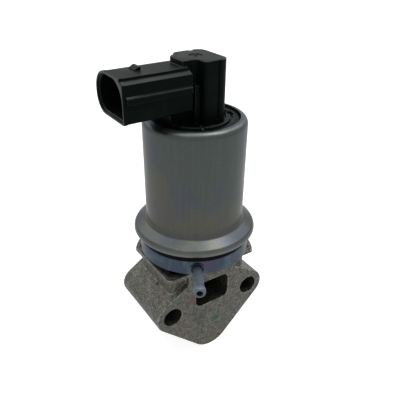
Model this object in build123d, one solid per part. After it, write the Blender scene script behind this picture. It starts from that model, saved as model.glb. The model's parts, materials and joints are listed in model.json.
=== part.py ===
"""Solenoid driven exhaust gas recirculation valve, as its separate pieces.

Millimetres. The origin is the middle of the bolt pair on the rear flange face, +Z runs up along the
valve axis, the rear flange faces +Y, the front flange faces -Y and the connector points to -X. Every piece
is drawn about the valve axis, and put() then carries it to its place behind the rear face.
"""
from build123d import *
import math
import os

os.makedirs("parts", exist_ok=True)

# ---- Body casting: heights are above the line through the two bolt holes
HOLE_SPACING = 40.0         # between the bolt holes
HOLE_R = 4.4                # clearance hole for M8
LUG_R = 7.5                 # rounding of the flange about each bolt hole
LOBE_R = 10.4               # bottom lobe, round the inlet port
LOBE_DROP = 15.8            # lobe centre below the bolt holes
AXIS_TO_FRONT = 14.8        # valve axis to the front face
AXIS_TO_REAR = 17.2         # valve axis to the rear face
SHOULDER_SLOPE = 32.2       # degrees, upper edge of each lug
NECK_HALF = 12.0            # half width of the neck over the shoulders
NECK_FILLET = 2.0
PLATE_R = 25.7              # round top plate, flat at the front and at the left
PLATE_LEFT = -21.6
PLATE_TOP = 19.8
PLATE_THICK = 1.8
PLATE_CORNER_R = 1.6        # between the two flats
PLATE_EDGE_FILLET = 1.5     # where the round edge meets a flat
WALL = 1.9                  # casting wall round the corner pockets
WALL_SETBACK = 2.6          # the body under the plate lies this far inside the plate's flats
WALL_CORNER_R = 2.2
POCKET_R = 1.2
POCKET_FLOOR = 10.2
BOSS_R = 16.0               # round boss that carries the spacer ring
BOSS_TOP = 22.4

# ---- Gas passages
PORT_R = 8.0                # inlet port, rear face
PORT_WALL = 4.5             # metal left between the inlet port and the front face
CHAMBER_R = 8.4             # bore under the valve seat
WINDOW_HALF = 8.3           # outlet window, front face
WINDOW_LOW = -0.4
WINDOW_HIGH = 12.1
WINDOW_CORNER_R = 2.9
WINDOW_REAR = 9.0           # how far the outlet chamber runs behind the axis
SEAT_TOP = -3.0
SEAT_HEIGHT = 3.5
SEAT_BORE_R = 6.0
SEAT_CHAMFER = 1.0
THROAT_R = 6.4              # casting bore between seat and outlet chamber

# ---- Moving valve
LIFT = 4.5                  # full travel, downwards
VALVE_R = 7.0
VALVE_GAP = 0.4             # height clearance of the closed disc under its seat
VALVE_RIM = 2.7
STEM_R = 2.5
STEM_TIP_R = 2.0            # thinner ends of the stem: in the disc and in the armature
RIVET_R = 2.9
RIVET_HEIGHT = 1.0
VALVE_CHAMFER = 0.6
FACE_OVER = 0.4             # valve face beyond the seat's chamfer
STEM_CHAMFER = 0.4
GUIDE_CLEAR = 0.05          # running fit of stem in guide
GUIDE_R = 5.0
GUIDE_DROP = 2.0            # guide below the roof of the outlet chamber
SHIELD_R = 6.6
SHIELD_WALL = 0.7
SHIELD_DROP = 4.2
SEAL_HEIGHT = 2.0
SEAL_CLEAR = 0.3

# ---- Spacer ring with the vent nipple
GASKET = 0.5
GASKET_BORE_GAP = 0.6       # between the spacer gasket and the guide
SPACER_INSET = 0.9          # ring's edge inside the pole plate's
SPACER_HEIGHT = 6.5
SPACER_FLOOR = 1.5
VENT_CHAMBER_R = 8.6
SPACER_EDGE = 0.3
NIPPLE_ANGLE = 240.0        # degrees from +X, seen from above
NIPPLE_RISE = 3.1           # nipple axis above the spacer's lower face
NIPPLE_R = 1.9
NIPPLE_BORE_R = 1.2
NIPPLE_REACH = 15.0         # free length out of the ring
NIPPLE_GRIP = 4.5           # length pressed into the ring
BEAD_R = 2.35
BEAD_LENGTH = 3.6
BEAD_TAPER = 1.0            # length over which the bead swells from the tube
BEAD_ROUND = 0.9            # rounding of its outer end
COLLAR_R = 2.9
COLLAR_RISE = 0.7
COLLAR_SINK = 1.2           # depth of the recess round the nipple's root
COLLAR_GAP = 0.5            # width of that recess

# ---- Solenoid
FLANGE_GASKET = 1.7
GASKET_INSET = 1.3          # gasket's edge inside the pole plate's
PLATE_FIT = 0.2             # pole plate inside the can's rolled edge
PLATE_EDGE = 3.7            # thickness of that plate
PLATE_REBATE = 1.0          # step in its lower edge, over the gasket
PLATE_BEVEL = 1.2           # bevel of its upper edge, under the can's shoulder
POLE_STEP = 2.4
POLE_R = 7.9
POLE_RISE = 10.4
POLE_BORE_R = 3.0
POLE_CONE = 2.4
POLE_LIP = 0.4              # flat ring between the spring pocket and the cone
SPRING_POCKET_R = 5.3
SPRING_POCKET = 7.0
CAN_R = 20.0
CAN_WALL = 1.2
CAN_FLANGE = 5.3            # flange beyond the can's wall
CAN_FALL = 3.2              # fall of the flange from the wall to its edge
CAN_FLARE_R = 2.0           # between the wall and the flange
CAN_SHOULDER_R = 2.6        # rolled outer edge of the flange
CAN_LIP = 1.9               # depth of the flange's turned down edge
CAN_TOP = 80.7
CAN_RIM_R = 2.7             # rolled rim
CAN_RIM_EDGE = 0.1          # rim's inner edge beyond its rounding
FIT = 0.3                   # ordinary clearance between round pieces
CLOSE_FIT = 0.1             # clearance of pieces slid over each other and held
SLEEVE_WALL = 0.6
BOBBIN_WALL = 1.0
BOBBIN_GAP = 1.0            # bobbin inside the can
BOBBIN_FLANGE = 1.4
BOBBIN_TOP = 71.0
COIL_INSET = 1.0            # winding inside the bobbin's flanges
YOKE_HEIGHT = 3.0
TAB_INSET = 3.4             # coil blades inside the winding's outer face
TAB_Y = 2.4
TAB_WIDTH = 1.6
TAB_THICK = 0.8
TAB_COVER = 2.0             # plastic over the blades' ends
TAB_CLEAR = 0.4             # round the blades in the yoke ring
SCREW_R = 2.0
SCREW_HEAD_R = 3.8
SCREW_EDGE = 3.8            # screw circle inside the boss
SCREW_END = 14.5
SCREW_CHAMFER = 0.4
SCREW_HEX_R = 1.4           # hexagon socket
SCREW_HEX_DEPTH = 1.2
SCREW_ANGLES = (90.0, 210.0, 330.0)

# ---- Armature group
AIR_GAP = 0.5               # armature above the pole at full lift
ARMATURE_LENGTH = 15.0
ARMATURE_LAND = 0.4         # flat foot of the armature outside its cone
ARMATURE_CHAMFER = 0.5
ARMATURE_HOLE_R = 1.1       # pressure relief holes
ARMATURE_HOLE_CIRCLE = 5.3
NUT_R = 3.6
NUT_HEIGHT = 3.0
STEM_OVER_NUT = 1.6
SPRING_WIRE_R = 0.45
SPRING_TURNS = 5.0
SEAT_WASHER = 0.8
SPRING_END_GAP = 0.05       # between a spring's end and its seat

# ---- Head moulding: disc, tower and connector shroud
DISC_TOP = 79.0
DISC_FIT = 0.4              # disc inside the can
SHOULDER_GAP = 0.7          # disc's shoulder under the can's rim
DISC_GAP = 0.7              # open ring between the disc's outer ring and the can's rim
OUTER_RING_WIDTH = 2.3      # foot of the outer ring on the disc
CHANNEL = 0.8               # between the two rings
INNER_RING_WIDTH = 1.8
RING_DRAFT = 0.3
RIDGE = 0.9                 # height of the outer ring
INNER_RIDGE = 1.4
DISC_SLOT = 4.0             # width of the notch in the inner ring
DISC_SLOT_ANGLE = -15.0
TOWER_TOP = 102.0
TOWER_LEFT = -7.9           # tower outline about the valve axis
TOWER_RIGHT = 8.2
TOWER_FRONT = -9.7
TOWER_REAR = 8.7
TOWER_RECESS = -4.3         # recessed left half of the tower's front
TOWER_STEP = 3.0            # small step at the rear left corner
TOWER_CORNER_R = 3.6
BARREL_LEFT = -2.1          # where the deep front of the tower begins
BARREL_CORNER_R = 1.2
RECESS_R = 2.2
GROOVE_X = 3.5              # upright grooves in the front and the rear of the tower
GROOVE_FRONT_R = 0.5
GROOVE_REAR_R = 1.0
GROOVE_RISE = 2.0           # foot of the grooves over the disc
TOWER_WALL = 1.7
WEB_LEFT = -13.4            # block between disc and connector
WEB_HALF = 7.0
FIN_LEFT = -4.7             # upright fin in the recess
FIN_THICK = 1.7
FIN_FRONT = -7.3
FOOT_RIB = 5.0              # low rib on the disc in front of the fin
FOOT_RIB_THICK = 0.6
SOCKET_REACH = 32.7         # valve axis to the mouth of the connector
SOCKET_Y = 2.35             # connector axis behind the valve axis
SOCKET_Z = 92.6             # connector axis height
SOCKET_WIDTH = 20.7
SOCKET_HEIGHT = 14.8
SOCKET_NEAR_R = 0.9         # lower front corner of the connector's section
SOCKET_FAR_LOW_R = 6.0      # lower rear corner
SOCKET_FAR_FLAT = 1.2       # upright flat between the rear corners
SOCKET_PAD_STEP = 0.8       # the flat top stands this much over the bevel
SOCKET_BEVEL = 2.0          # width of the bevel along the upper front edge
SOCKET_BEVEL_DROP = 0.9
SOCKET_WALL = 1.3
SOCKET_LAND = 0.45          # flat left round the mouth by its lead-in
SOCKET_DEPTH = 18.5
SOCKET_LIP = 0.15
SOCKET_LIP_LENGTH = 1.4
RAIL_TOP = 93.9             # rail on the connector's front side
RAIL_HEIGHT = 2.0
RAIL_RISE = 0.7
NUB_X = -22.6               # middle of the latch nub
NUB_LENGTH = 2.4
NUB_WIDTH = 4.4
NUB_RISE = 1.2
NUB_LAND = 0.7              # flat top of the nub
NUB_STEP = 0.2              # foot of its ramp
PIN_COUNT = 5
PIN_PITCH = 3.1
PIN_THICK = 0.8
PIN_HEIGHT = 1.6
PIN_REACH = 10.5            # free length of a pin in the socket
FLOOR_THICK = 1.0           # tower's floor over the disc
NUT_ROOF = 2.5              # plastic between the armature nut's room and the sensor
LID_THICK = 1.6
LID_INSET = 1.0
LID_MARK_X = 0.6            # middle of the shallow round in the lid
LID_MARK_Y = 0.7
LID_MARK_R = 2.5
LID_MARK_DEPTH = 0.25
LID_PIP_R = 0.6             # pip left standing in its middle
SEAL_SIZE = 1.7             # square of the squeezed O ring
SEAL_RISE = 1.2             # groove above the disc's lower face

# ---- Sensor
PLUNGER_R = 1.8
PLUNGER_GAP = 0.1           # plunger over the stem's end
CARRIER = 7.0               # wiper carrier, along X
CARRIER_DEPTH = 4.6
CARRIER_HEIGHT = 5.0
CARRIER_GAP = 0.5           # carrier over the tower's floor at full lift
CARRIER_POCKET = 2.0        # floor of the carrier's spring pocket over its lower face
BOARD_THICK = 1.0
BOARD_WIDTH = 7.2
BOARD_X = 1.8               # middle of the track plate
TRACK_PITCH = 2.4
WIPER_THICK = 0.3
WIPER_WIDTH = 1.0
WIPER_HEIGHT = 3.0
WIPER_RISE = 1.0            # strips' foot over the carrier's lower face
SMALL_SPRING_WIRE_R = 0.3
SMALL_SPRING_TURNS = 5.0

# ---- Heights that follow
DEPTH = AXIS_TO_FRONT + AXIS_TO_REAR
SEAT_LOW = SEAT_TOP - SEAT_HEIGHT
SPACER_LOW = BOSS_TOP + GASKET
SPACER_TOP = SPACER_LOW + SPACER_HEIGHT
POLE_LOW = SPACER_TOP + FLANGE_GASKET
PLATE_EDGE_TOP = POLE_LOW + PLATE_EDGE
STEP_TOP = PLATE_EDGE_TOP + POLE_STEP
POLE_TOP = STEP_TOP + POLE_RISE
ARMATURE_LOW = POLE_TOP + LIFT + AIR_GAP
ARMATURE_TOP = ARMATURE_LOW + ARMATURE_LENGTH
STEM_TOP = ARMATURE_TOP + NUT_HEIGHT + STEM_OVER_NUT
CAN_SLOPE = CAN_FALL / CAN_FLANGE
CAN_SLANT = CAN_WALL * math.hypot(1, CAN_SLOPE)
CAN_SEAT = CAN_WALL + PLATE_FIT + PLATE_BEVEL
CAN_EDGE_Z = PLATE_EDGE_TOP + CLOSE_FIT + CAN_SLANT - CAN_SLOPE * CAN_SEAT
CAN_BORE_R = CAN_R - CAN_WALL
CAN_FLANGE_R = CAN_R + CAN_FLANGE
CAN_MOUTH_R = CAN_R - CAN_RIM_R - CAN_RIM_EDGE
PLATE_EDGE_R = CAN_FLANGE_R - CAN_WALL - PLATE_FIT
SPACER_R = PLATE_EDGE_R - SPACER_INSET
NIPPLE_TIP = SPACER_R + NIPPLE_REACH
BOBBIN_R = CAN_BORE_R - BOBBIN_GAP
COIL_R = BOBBIN_R - COIL_INSET
TAB_X = TAB_INSET - COIL_R
SCREW_CIRCLE_R = BOSS_R - SCREW_EDGE
SOCKET_FAR_TOP_R = SOCKET_HEIGHT - SOCKET_FAR_FLAT - SOCKET_FAR_LOW_R
DISC_R = CAN_BORE_R - DISC_FIT
RING_OUTER_R = CAN_MOUTH_R - DISC_GAP
OUTER_RING_R = RING_OUTER_R - OUTER_RING_WIDTH
INNER_RING_R = OUTER_RING_R - CHANNEL
SLEEVE_R = POLE_R + CLOSE_FIT
BOBBIN_BORE_R = SLEEVE_R + SLEEVE_WALL + CLOSE_FIT
YOKE_TOP = BOBBIN_TOP + YOKE_HEIGHT
SOCKET_BACK = -SOCKET_REACH + SOCKET_DEPTH
SENSOR_FLOOR = DISC_TOP + FLOOR_THICK
LID_LOW = TOWER_TOP - LID_THICK
CARRIER_Z = SENSOR_FLOOR + LIFT + CARRIER_GAP


def put(shape, node):
    """Moves a piece from the valve axis to its place and writes it."""
    export_step(Pos(0, -AXIS_TO_REAR, 0) * shape, f"parts/{node}.step")


def rod(radius, low, high, x=0.0, y=0.0):
    """An upright cylinder between two heights."""
    return Pos(x, y, (low + high) / 2) * Cylinder(radius, high - low)


def ring(outer, inner, low, high):
    """An upright tube between two heights."""
    return rod(outer, low, high) - rod(inner, low - 1, high + 1)


def block(x0, x1, y0, y1, z0, z1):
    """A box from its limits."""
    box = Box(x1 - x0, y1 - y0, z1 - z0)
    return Pos((x0 + x1) / 2, (y0 + y1) / 2, (z0 + z1) / 2) * box


def turned(points):
    """A solid of revolution from its (radius, height) outline."""
    return revolve(Plane.XZ * make_face(Polyline(*points, close=True)), Axis.Z)


def turned_rounded(outline):
    """A solid of revolution from a (radius, height, corner radius) outline."""
    section = make_face(Polyline(*[(r, z) for r, z, _ in outline], close=True))
    for r, z, rounding in outline:
        if rounding > 0:
            section = fillet(section.vertices().sort_by_distance((r, z, 0))[0], rounding)
    return revolve(Plane.XZ * section, Axis.Z)


def on_circle(radius, angle):
    """A point on a circle about the valve axis, the angle in degrees from +X."""
    return radius * math.cos(math.radians(angle)), radius * math.sin(math.radians(angle))


def radial_rod(radius, start, end, angle, z):
    """A level cylinder along a radius of the valve axis."""
    bar = Pos(0, 0, (start + end) / 2) * Cylinder(radius, end - start)
    return Pos(0, 0, z) * Rot(0, 0, angle) * Rot(0, 90, 0) * bar


def screw_holes(radius, low, high):
    """The three upright holes on the screw circle."""
    return [rod(radius, low, high, *on_circle(SCREW_CIRCLE_R, a)) for a in SCREW_ANGLES]


# ---------------------------------------------------------------- body casting
def flange_outline():
    """Front view of the flange: two lugs, a bottom lobe and sloping shoulders up to the neck."""
    slope = math.radians(SHOULDER_SLOPE)
    touch_x = HOLE_SPACING / 2 + LUG_R * math.sin(slope)
    touch_z = LUG_R * math.cos(slope)
    corner_z = touch_z + (touch_x - NECK_HALF) * math.tan(slope)
    with BuildSketch(Plane.XZ.offset(-AXIS_TO_REAR)) as outline:
        with Locations((-HOLE_SPACING / 2, 0), (HOLE_SPACING / 2, 0)):
            Circle(LUG_R)
        with Locations((0, -LOBE_DROP)):
            Circle(LOBE_R)
        make_hull()
        right = [(touch_x, touch_z), (NECK_HALF, corner_z), (NECK_HALF, PLATE_TOP)]
        left = [(-x, z) for x, z in reversed(right)]
        with BuildLine():
            Polyline(*right, *left, close=True)
        make_face()
        corners = [v for v in outline.vertices() if abs(v.Z - corner_z) < 0.01]
        fillet(corners, NECK_FILLET)
    return outline.sketch


def plate_outline(inset=0.0):
    """Plan of the top plate: a circle with a flat at the left and one flush with the front face."""
    reach = PLATE_R - inset
    left = PLATE_LEFT + inset
    front = -AXIS_TO_FRONT + inset
    size = PLATE_R - PLATE_LEFT
    square = Pos(left + size / 2, front + size / 2) * Rectangle(size, size)
    corner = [v for v in square.vertices() if v.X < 0 and v.Y < 0]
    outline = Circle(reach) & fillet(corner, PLATE_CORNER_R)
    ends = [v for v in outline.vertices() if abs(math.hypot(v.X, v.Y) - reach) < 0.01]
    return fillet(ends, PLATE_EDGE_FILLET)


def walls_outline(inset):
    """Plan of the walls under the plate, set back from its flats."""
    half = -PLATE_LEFT - inset
    front = -AXIS_TO_FRONT + inset
    rear = AXIS_TO_REAR - inset
    corner = max(WALL_CORNER_R + WALL_SETBACK - inset, POCKET_R)
    return Pos(0, (front + rear) / 2) * RectangleRounded(2 * half, rear - front, corner)


def body_walls():
    """The walls under the top plate, standing on the shoulders, and the plate itself."""
    walls = extrude(walls_outline(WALL_SETBACK), PLATE_TOP - PLATE_THICK / 2)
    return walls + extrude(Pos(0, 0, PLATE_TOP - PLATE_THICK) * plate_outline(), PLATE_THICK)


def corner_pockets():
    """What is cored out round the boss, down to the pocket floor, and the sunk top of the plate."""
    deep = Pos(0, 0, POCKET_FLOOR) * walls_outline(WALL_SETBACK + WALL)
    tray = Pos(0, 0, PLATE_TOP - PLATE_THICK / 2) * plate_outline(WALL)
    cores = extrude(deep, PLATE_TOP) + extrude(tray, PLATE_THICK)
    return cores - rod(BOSS_R, -1, 2 * BOSS_TOP)


def base_casting():
    """Die cast body with the inlet port, the seat bore, the outlet chamber and the guide bore."""
    body = extrude(flange_outline(), DEPTH)
    body += body_walls()
    body += rod(BOSS_R, 0, BOSS_TOP) & block(-BOSS_R, BOSS_R, -AXIS_TO_FRONT, AXIS_TO_REAR, 0, BOSS_TOP)
    body -= corner_pockets()
    for side in (-1, 1):
        hole = Pos(side * HOLE_SPACING / 2, 0, 0) * Rot(90, 0, 0) * Cylinder(HOLE_R, 3 * DEPTH)
        body -= hole
    port_y = (AXIS_TO_REAR + 1 - AXIS_TO_FRONT + PORT_WALL) / 2
    port_length = AXIS_TO_REAR + 1 + AXIS_TO_FRONT - PORT_WALL
    body -= Pos(0, port_y, -LOBE_DROP) * Rot(90, 0, 0) * Cylinder(PORT_R, port_length)
    body -= rod(CHAMBER_R, -LOBE_DROP, SEAT_TOP)
    body -= rod(THROAT_R, SEAT_TOP - 1, WINDOW_LOW + 1)
    middle = (WINDOW_LOW + WINDOW_HIGH) / 2
    window = RectangleRounded(2 * WINDOW_HALF, WINDOW_HIGH - WINDOW_LOW, WINDOW_CORNER_R)
    window_plane = Plane.XZ.offset(-WINDOW_REAR)
    body -= extrude(window_plane * Pos(0, middle, 0) * window, WINDOW_REAR + AXIS_TO_FRONT + 1)
    body -= rod(GUIDE_R, WINDOW_HIGH - 1, BOSS_TOP + 1)
    for hole in screw_holes(SCREW_R, SCREW_END, BOSS_TOP + 1):
        body -= hole
    return body


def valve_seat():
    """Seat ring, pressed into the bore from below, with a 45 degree seat."""
    return turned([(SEAT_BORE_R, SEAT_TOP), (CHAMBER_R, SEAT_TOP), (CHAMBER_R, SEAT_LOW),
                   (SEAT_BORE_R + SEAT_CHAMFER, SEAT_LOW), (SEAT_BORE_R, SEAT_LOW + SEAT_CHAMFER)])


def stem_guide():
    """Guide bush between the outlet chamber and the spacer ring."""
    return ring(GUIDE_R, STEM_R + GUIDE_CLEAR, WINDOW_HIGH - GUIDE_DROP, BOSS_TOP)


def deposit_shield():
    """Thin cup round the guide's lower end: a washer under the roof with a skirt."""
    top = WINDOW_HIGH - 0.4
    low = WINDOW_HIGH - SHIELD_DROP
    inner = SHIELD_R - SHIELD_WALL
    return turned([(GUIDE_R, top), (SHIELD_R, top), (SHIELD_R, low), (inner, low),
                   (inner, top - SHIELD_WALL), (GUIDE_R, top - SHIELD_WALL)])


# ---------------------------------------------------------------- moving valve
def valve_disc():
    """Valve disc with its 45 degree face and a short hub."""
    rim_top = SEAT_LOW - VALVE_GAP
    face = SEAT_CHAMFER + FACE_OVER
    low = rim_top - VALVE_RIM
    return turned([(STEM_TIP_R, low), (VALVE_R - VALVE_CHAMFER, low), (VALVE_R, low + VALVE_CHAMFER),
                   (VALVE_R, rim_top), (VALVE_R - face, rim_top + face), (STEM_TIP_R, rim_top + face)])


def valve_stem():
    """Stem, riveted under the disc, thinner in the disc and in the armature."""
    disc_low = SEAT_LOW - VALVE_GAP - VALVE_RIM
    disc_top = SEAT_LOW - VALVE_GAP + SEAT_CHAMFER + FACE_OVER
    shoulder = ARMATURE_LOW - SEAT_WASHER
    return turned([(0, disc_low - RIVET_HEIGHT), (RIVET_R - STEM_CHAMFER, disc_low - RIVET_HEIGHT),
                   (RIVET_R, disc_low - RIVET_HEIGHT / 2), (RIVET_R, disc_low), (STEM_TIP_R, disc_low),
                   (STEM_TIP_R, disc_top), (STEM_R, disc_top), (STEM_R, shoulder),
                   (STEM_TIP_R, shoulder), (STEM_TIP_R, STEM_TOP - STEM_CHAMFER),
                   (STEM_TIP_R - STEM_CHAMFER, STEM_TOP), (0, STEM_TOP)])


def spring_seat():
    """Washer on the stem's shoulder, under the armature."""
    return ring(SPRING_POCKET_R - FIT, STEM_TIP_R, ARMATURE_LOW - SEAT_WASHER, ARMATURE_LOW)


def armature():
    """Steel armature with a hollow cone below, to match the pole, and relief holes."""
    outer = SLEEVE_R - FIT
    cone_r = SPRING_POCKET_R + POLE_LIP
    edge_r = outer - ARMATURE_LAND
    low = ARMATURE_LOW - POLE_CONE * (edge_r - cone_r) / (POLE_R - cone_r)
    body = turned([(STEM_TIP_R, ARMATURE_LOW), (cone_r, ARMATURE_LOW), (edge_r, low), (outer, low),
                   (outer, ARMATURE_TOP - ARMATURE_CHAMFER), (outer - ARMATURE_CHAMFER, ARMATURE_TOP),
                   (STEM_TIP_R, ARMATURE_TOP)])
    for angle in (0, 120, 240):
        body -= rod(ARMATURE_HOLE_R, low - 1, ARMATURE_TOP + 1, *on_circle(ARMATURE_HOLE_CIRCLE, angle))
    return body


def armature_nut():
    """Hexagon nut that holds the armature on the stem."""
    nut = extrude(Pos(0, 0, ARMATURE_TOP) * RegularPolygon(NUT_R, 6), NUT_HEIGHT)
    return nut - rod(STEM_TIP_R, ARMATURE_TOP - 1, STEM_TOP)


# ---------------------------------------------------------------- springs
def coil_spring(radius, wire, low, high, turns):
    """Compression spring between two heights, its round wire drawn with eight sides."""
    rise = high - low - 2 * wire
    path = Pos(0, 0, low + wire) * Helix(pitch=rise / turns, height=rise, radius=radius)
    section = Plane(origin=path @ 0, z_dir=path % 0) * RegularPolygon(wire, 8)
    return sweep(section, path=path, is_frenet=True)


def return_spring():
    """Closes the valve: between the pole's spring pocket and the washer under the armature."""
    radius = SPRING_POCKET_R - FIT - SPRING_WIRE_R
    low = POLE_TOP - SPRING_POCKET + SPRING_END_GAP
    high = ARMATURE_LOW - SEAT_WASHER - SPRING_END_GAP
    return coil_spring(radius, SPRING_WIRE_R, low, high, SPRING_TURNS)


def plunger_spring():
    """Keeps the sensor's plunger on the stem: between the wiper carrier and the lid."""
    radius = PLUNGER_R - FIT - CLOSE_FIT
    low = CARRIER_Z + CARRIER_POCKET + SPRING_END_GAP
    return coil_spring(radius, SMALL_SPRING_WIRE_R, low, LID_LOW - SPRING_END_GAP, SMALL_SPRING_TURNS)


# ---------------------------------------------------------------- spacer ring and nipple
def spacer_gasket():
    """Thin gasket between boss and spacer ring."""
    gasket = ring(BOSS_R, GUIDE_R + GASKET_BORE_GAP, BOSS_TOP, SPACER_LOW)
    for hole in screw_holes(SCREW_R + FIT, BOSS_TOP - 1, SPACER_LOW + 1):
        gasket -= hole
    return gasket


def stem_seal():
    """Seal ring on top of the guide, in the floor of the spacer ring."""
    return ring(GUIDE_R, STEM_R + SEAL_CLEAR, BOSS_TOP, BOSS_TOP + SEAL_HEIGHT)


def vent_spacer():
    """Steel ring under the solenoid: vent chamber, screw holes, nipple bore and its collar."""
    z = SPACER_LOW + NIPPLE_RISE
    body = chamfer(rod(SPACER_R, SPACER_LOW, SPACER_TOP).edges().filter_by(GeomType.CIRCLE), SPACER_EDGE)
    body += radial_rod(COLLAR_R, SPACER_R / 2, SPACER_R + COLLAR_RISE, NIPPLE_ANGLE, z) & block(
        -2 * SPACER_R, 2 * SPACER_R, -2 * SPACER_R, 2 * SPACER_R, SPACER_LOW, SPACER_TOP)
    body -= rod(VENT_CHAMBER_R, SPACER_LOW + SPACER_FLOOR, SPACER_TOP + 1)
    body -= rod(GUIDE_R, SPACER_LOW - 1, SPACER_TOP)
    for hole in screw_holes(SCREW_R + FIT, SPACER_LOW - 1, SPACER_TOP + 1):
        body -= hole
    rim = SPACER_R + COLLAR_RISE
    body -= radial_rod(NIPPLE_R + COLLAR_GAP, rim - COLLAR_SINK, rim + 1, NIPPLE_ANGLE, z)
    body -= radial_rod(NIPPLE_R, SPACER_R - NIPPLE_GRIP, rim, NIPPLE_ANGLE, z)
    body -= radial_rod(NIPPLE_BORE_R, VENT_CHAMBER_R - 1, SPACER_R, NIPPLE_ANGLE, z)
    return body


def vent_nipple():
    """Hose nipple with a rounded bead at its end, pressed into the spacer ring."""
    root = SPACER_R - NIPPLE_GRIP
    bead = NIPPLE_TIP - BEAD_LENGTH
    shoulder = NIPPLE_TIP - BEAD_ROUND
    turn = BEAD_ROUND * (1 - math.cos(math.radians(45)))
    outline = [(NIPPLE_BORE_R, root), (NIPPLE_R, root), (NIPPLE_R, bead), (BEAD_R, bead + BEAD_TAPER),
               (BEAD_R, shoulder), (BEAD_R - turn, NIPPLE_TIP - turn), (BEAD_R - BEAD_ROUND, NIPPLE_TIP),
               (NIPPLE_BORE_R, NIPPLE_TIP)]
    z = SPACER_LOW + NIPPLE_RISE
    return Pos(0, 0, z) * Rot(0, 0, NIPPLE_ANGLE) * Rot(0, 90, 0) * turned(outline)


# ---------------------------------------------------------------- solenoid
def flange_gasket():
    """Gasket between spacer ring and pole plate."""
    gasket = ring(PLATE_EDGE_R - GASKET_INSET, VENT_CHAMBER_R, SPACER_TOP, POLE_LOW)
    for hole in screw_holes(SCREW_R + FIT, SPACER_TOP - 1, POLE_LOW + 1):
        gasket -= hole
    return gasket


def pole_piece():
    """Lower pole: plate, step inside the can, and the pole tube with its cone and spring pocket."""
    pocket = POLE_TOP - SPRING_POCKET
    cone_r = SPRING_POCKET_R + POLE_LIP
    rebate_r = PLATE_EDGE_R - GASKET_INSET
    rebate_top = POLE_LOW + PLATE_REBATE
    body = turned([(POLE_BORE_R, POLE_LOW), (rebate_r, POLE_LOW), (rebate_r, rebate_top),
                   (PLATE_EDGE_R, rebate_top), (PLATE_EDGE_R, PLATE_EDGE_TOP - PLATE_BEVEL),
                   (PLATE_EDGE_R - PLATE_BEVEL, PLATE_EDGE_TOP), (CAN_BORE_R - FIT, PLATE_EDGE_TOP),
                   (CAN_BORE_R - FIT, STEP_TOP), (POLE_R, STEP_TOP),
                   (POLE_R, POLE_TOP - POLE_CONE), (cone_r, POLE_TOP), (SPRING_POCKET_R, POLE_TOP),
                   (SPRING_POCKET_R, pocket), (POLE_BORE_R, pocket)])
    sink = SCREW_HEAD_R - SCREW_R
    for angle in SCREW_ANGLES:
        x, y = on_circle(SCREW_CIRCLE_R, angle)
        body -= rod(SCREW_R + FIT, POLE_LOW - 1, STEP_TOP + 1, x, y)
        body -= Pos(x, y, STEP_TOP - sink / 2) * Cone(SCREW_R, SCREW_HEAD_R, sink)
    return body


def body_screws():
    """Three countersunk screws from the pole plate into the casting."""
    sink = SCREW_HEAD_R - SCREW_R
    screw = turned([(0, SCREW_END), (SCREW_R - SCREW_CHAMFER, SCREW_END),
                    (SCREW_R, SCREW_END + SCREW_CHAMFER), (SCREW_R, STEP_TOP - sink),
                    (SCREW_HEAD_R, STEP_TOP), (0, STEP_TOP)])
    hexagon = Pos(0, 0, STEP_TOP - SCREW_HEX_DEPTH) * RegularPolygon(SCREW_HEX_R, 6)
    screw -= extrude(hexagon, 2 * SCREW_HEX_DEPTH)
    return Compound([Pos(*on_circle(SCREW_CIRCLE_R, a), 0) * screw for a in SCREW_ANGLES])


def solenoid_can():
    """Drawn can: flange sloping out over the pole plate's edge, straight wall and rolled rim."""
    low = CAN_EDGE_Z - CAN_LIP
    corner = CAN_EDGE_Z + CAN_FALL
    inner_drop = CAN_SLANT - CAN_WALL * CAN_SLOPE
    lip_r = CAN_FLANGE_R - CAN_WALL
    under = CAN_TOP - CAN_WALL
    outside = [(CAN_FLANGE_R, low, 0), (CAN_FLANGE_R, CAN_EDGE_Z, CAN_SHOULDER_R),
               (CAN_R, corner, CAN_FLARE_R), (CAN_R, CAN_TOP, CAN_RIM_R), (CAN_MOUTH_R, CAN_TOP, 0)]
    inside = [(CAN_MOUTH_R, under, 0), (CAN_BORE_R, under, CAN_RIM_R - CAN_WALL),
              (CAN_BORE_R, corner - inner_drop, CAN_FLARE_R + CAN_WALL),
              (lip_r, CAN_EDGE_Z - inner_drop, CAN_SHOULDER_R - CAN_WALL), (lip_r, low, 0)]
    return turned_rounded(outside + inside)


def guide_sleeve():
    """Thin tube round the pole, in which the armature runs."""
    return ring(SLEEVE_R + SLEEVE_WALL, SLEEVE_R, STEP_TOP, BOBBIN_TOP)


def bobbin():
    """Coil former with two flanges."""
    inner = BOBBIN_BORE_R
    core = inner + BOBBIN_WALL
    low_flange = STEP_TOP + BOBBIN_FLANGE
    top_flange = BOBBIN_TOP - BOBBIN_FLANGE
    return turned([(inner, STEP_TOP), (BOBBIN_R, STEP_TOP), (BOBBIN_R, low_flange), (core, low_flange),
                   (core, top_flange), (BOBBIN_R, top_flange), (BOBBIN_R, BOBBIN_TOP), (inner, BOBBIN_TOP)])


def coil_winding():
    """The wound copper as one ring."""
    return ring(COIL_R, BOBBIN_BORE_R + BOBBIN_WALL, STEP_TOP + BOBBIN_FLANGE, BOBBIN_TOP - BOBBIN_FLANGE)


def coil_tab_places():
    """Where the two coil blades rise beside the valve axis."""
    return [(TAB_X, -TAB_Y), (TAB_X, TAB_Y)]


def tab_blocks(clear, low, high):
    """The coil blades' section between two heights, widened by a clearance."""
    half_x = TAB_WIDTH / 2 + clear
    half_y = TAB_THICK / 2 + clear
    return [block(x - half_x, x + half_x, y - half_y, y + half_y, low, high) for x, y in coil_tab_places()]


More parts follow.
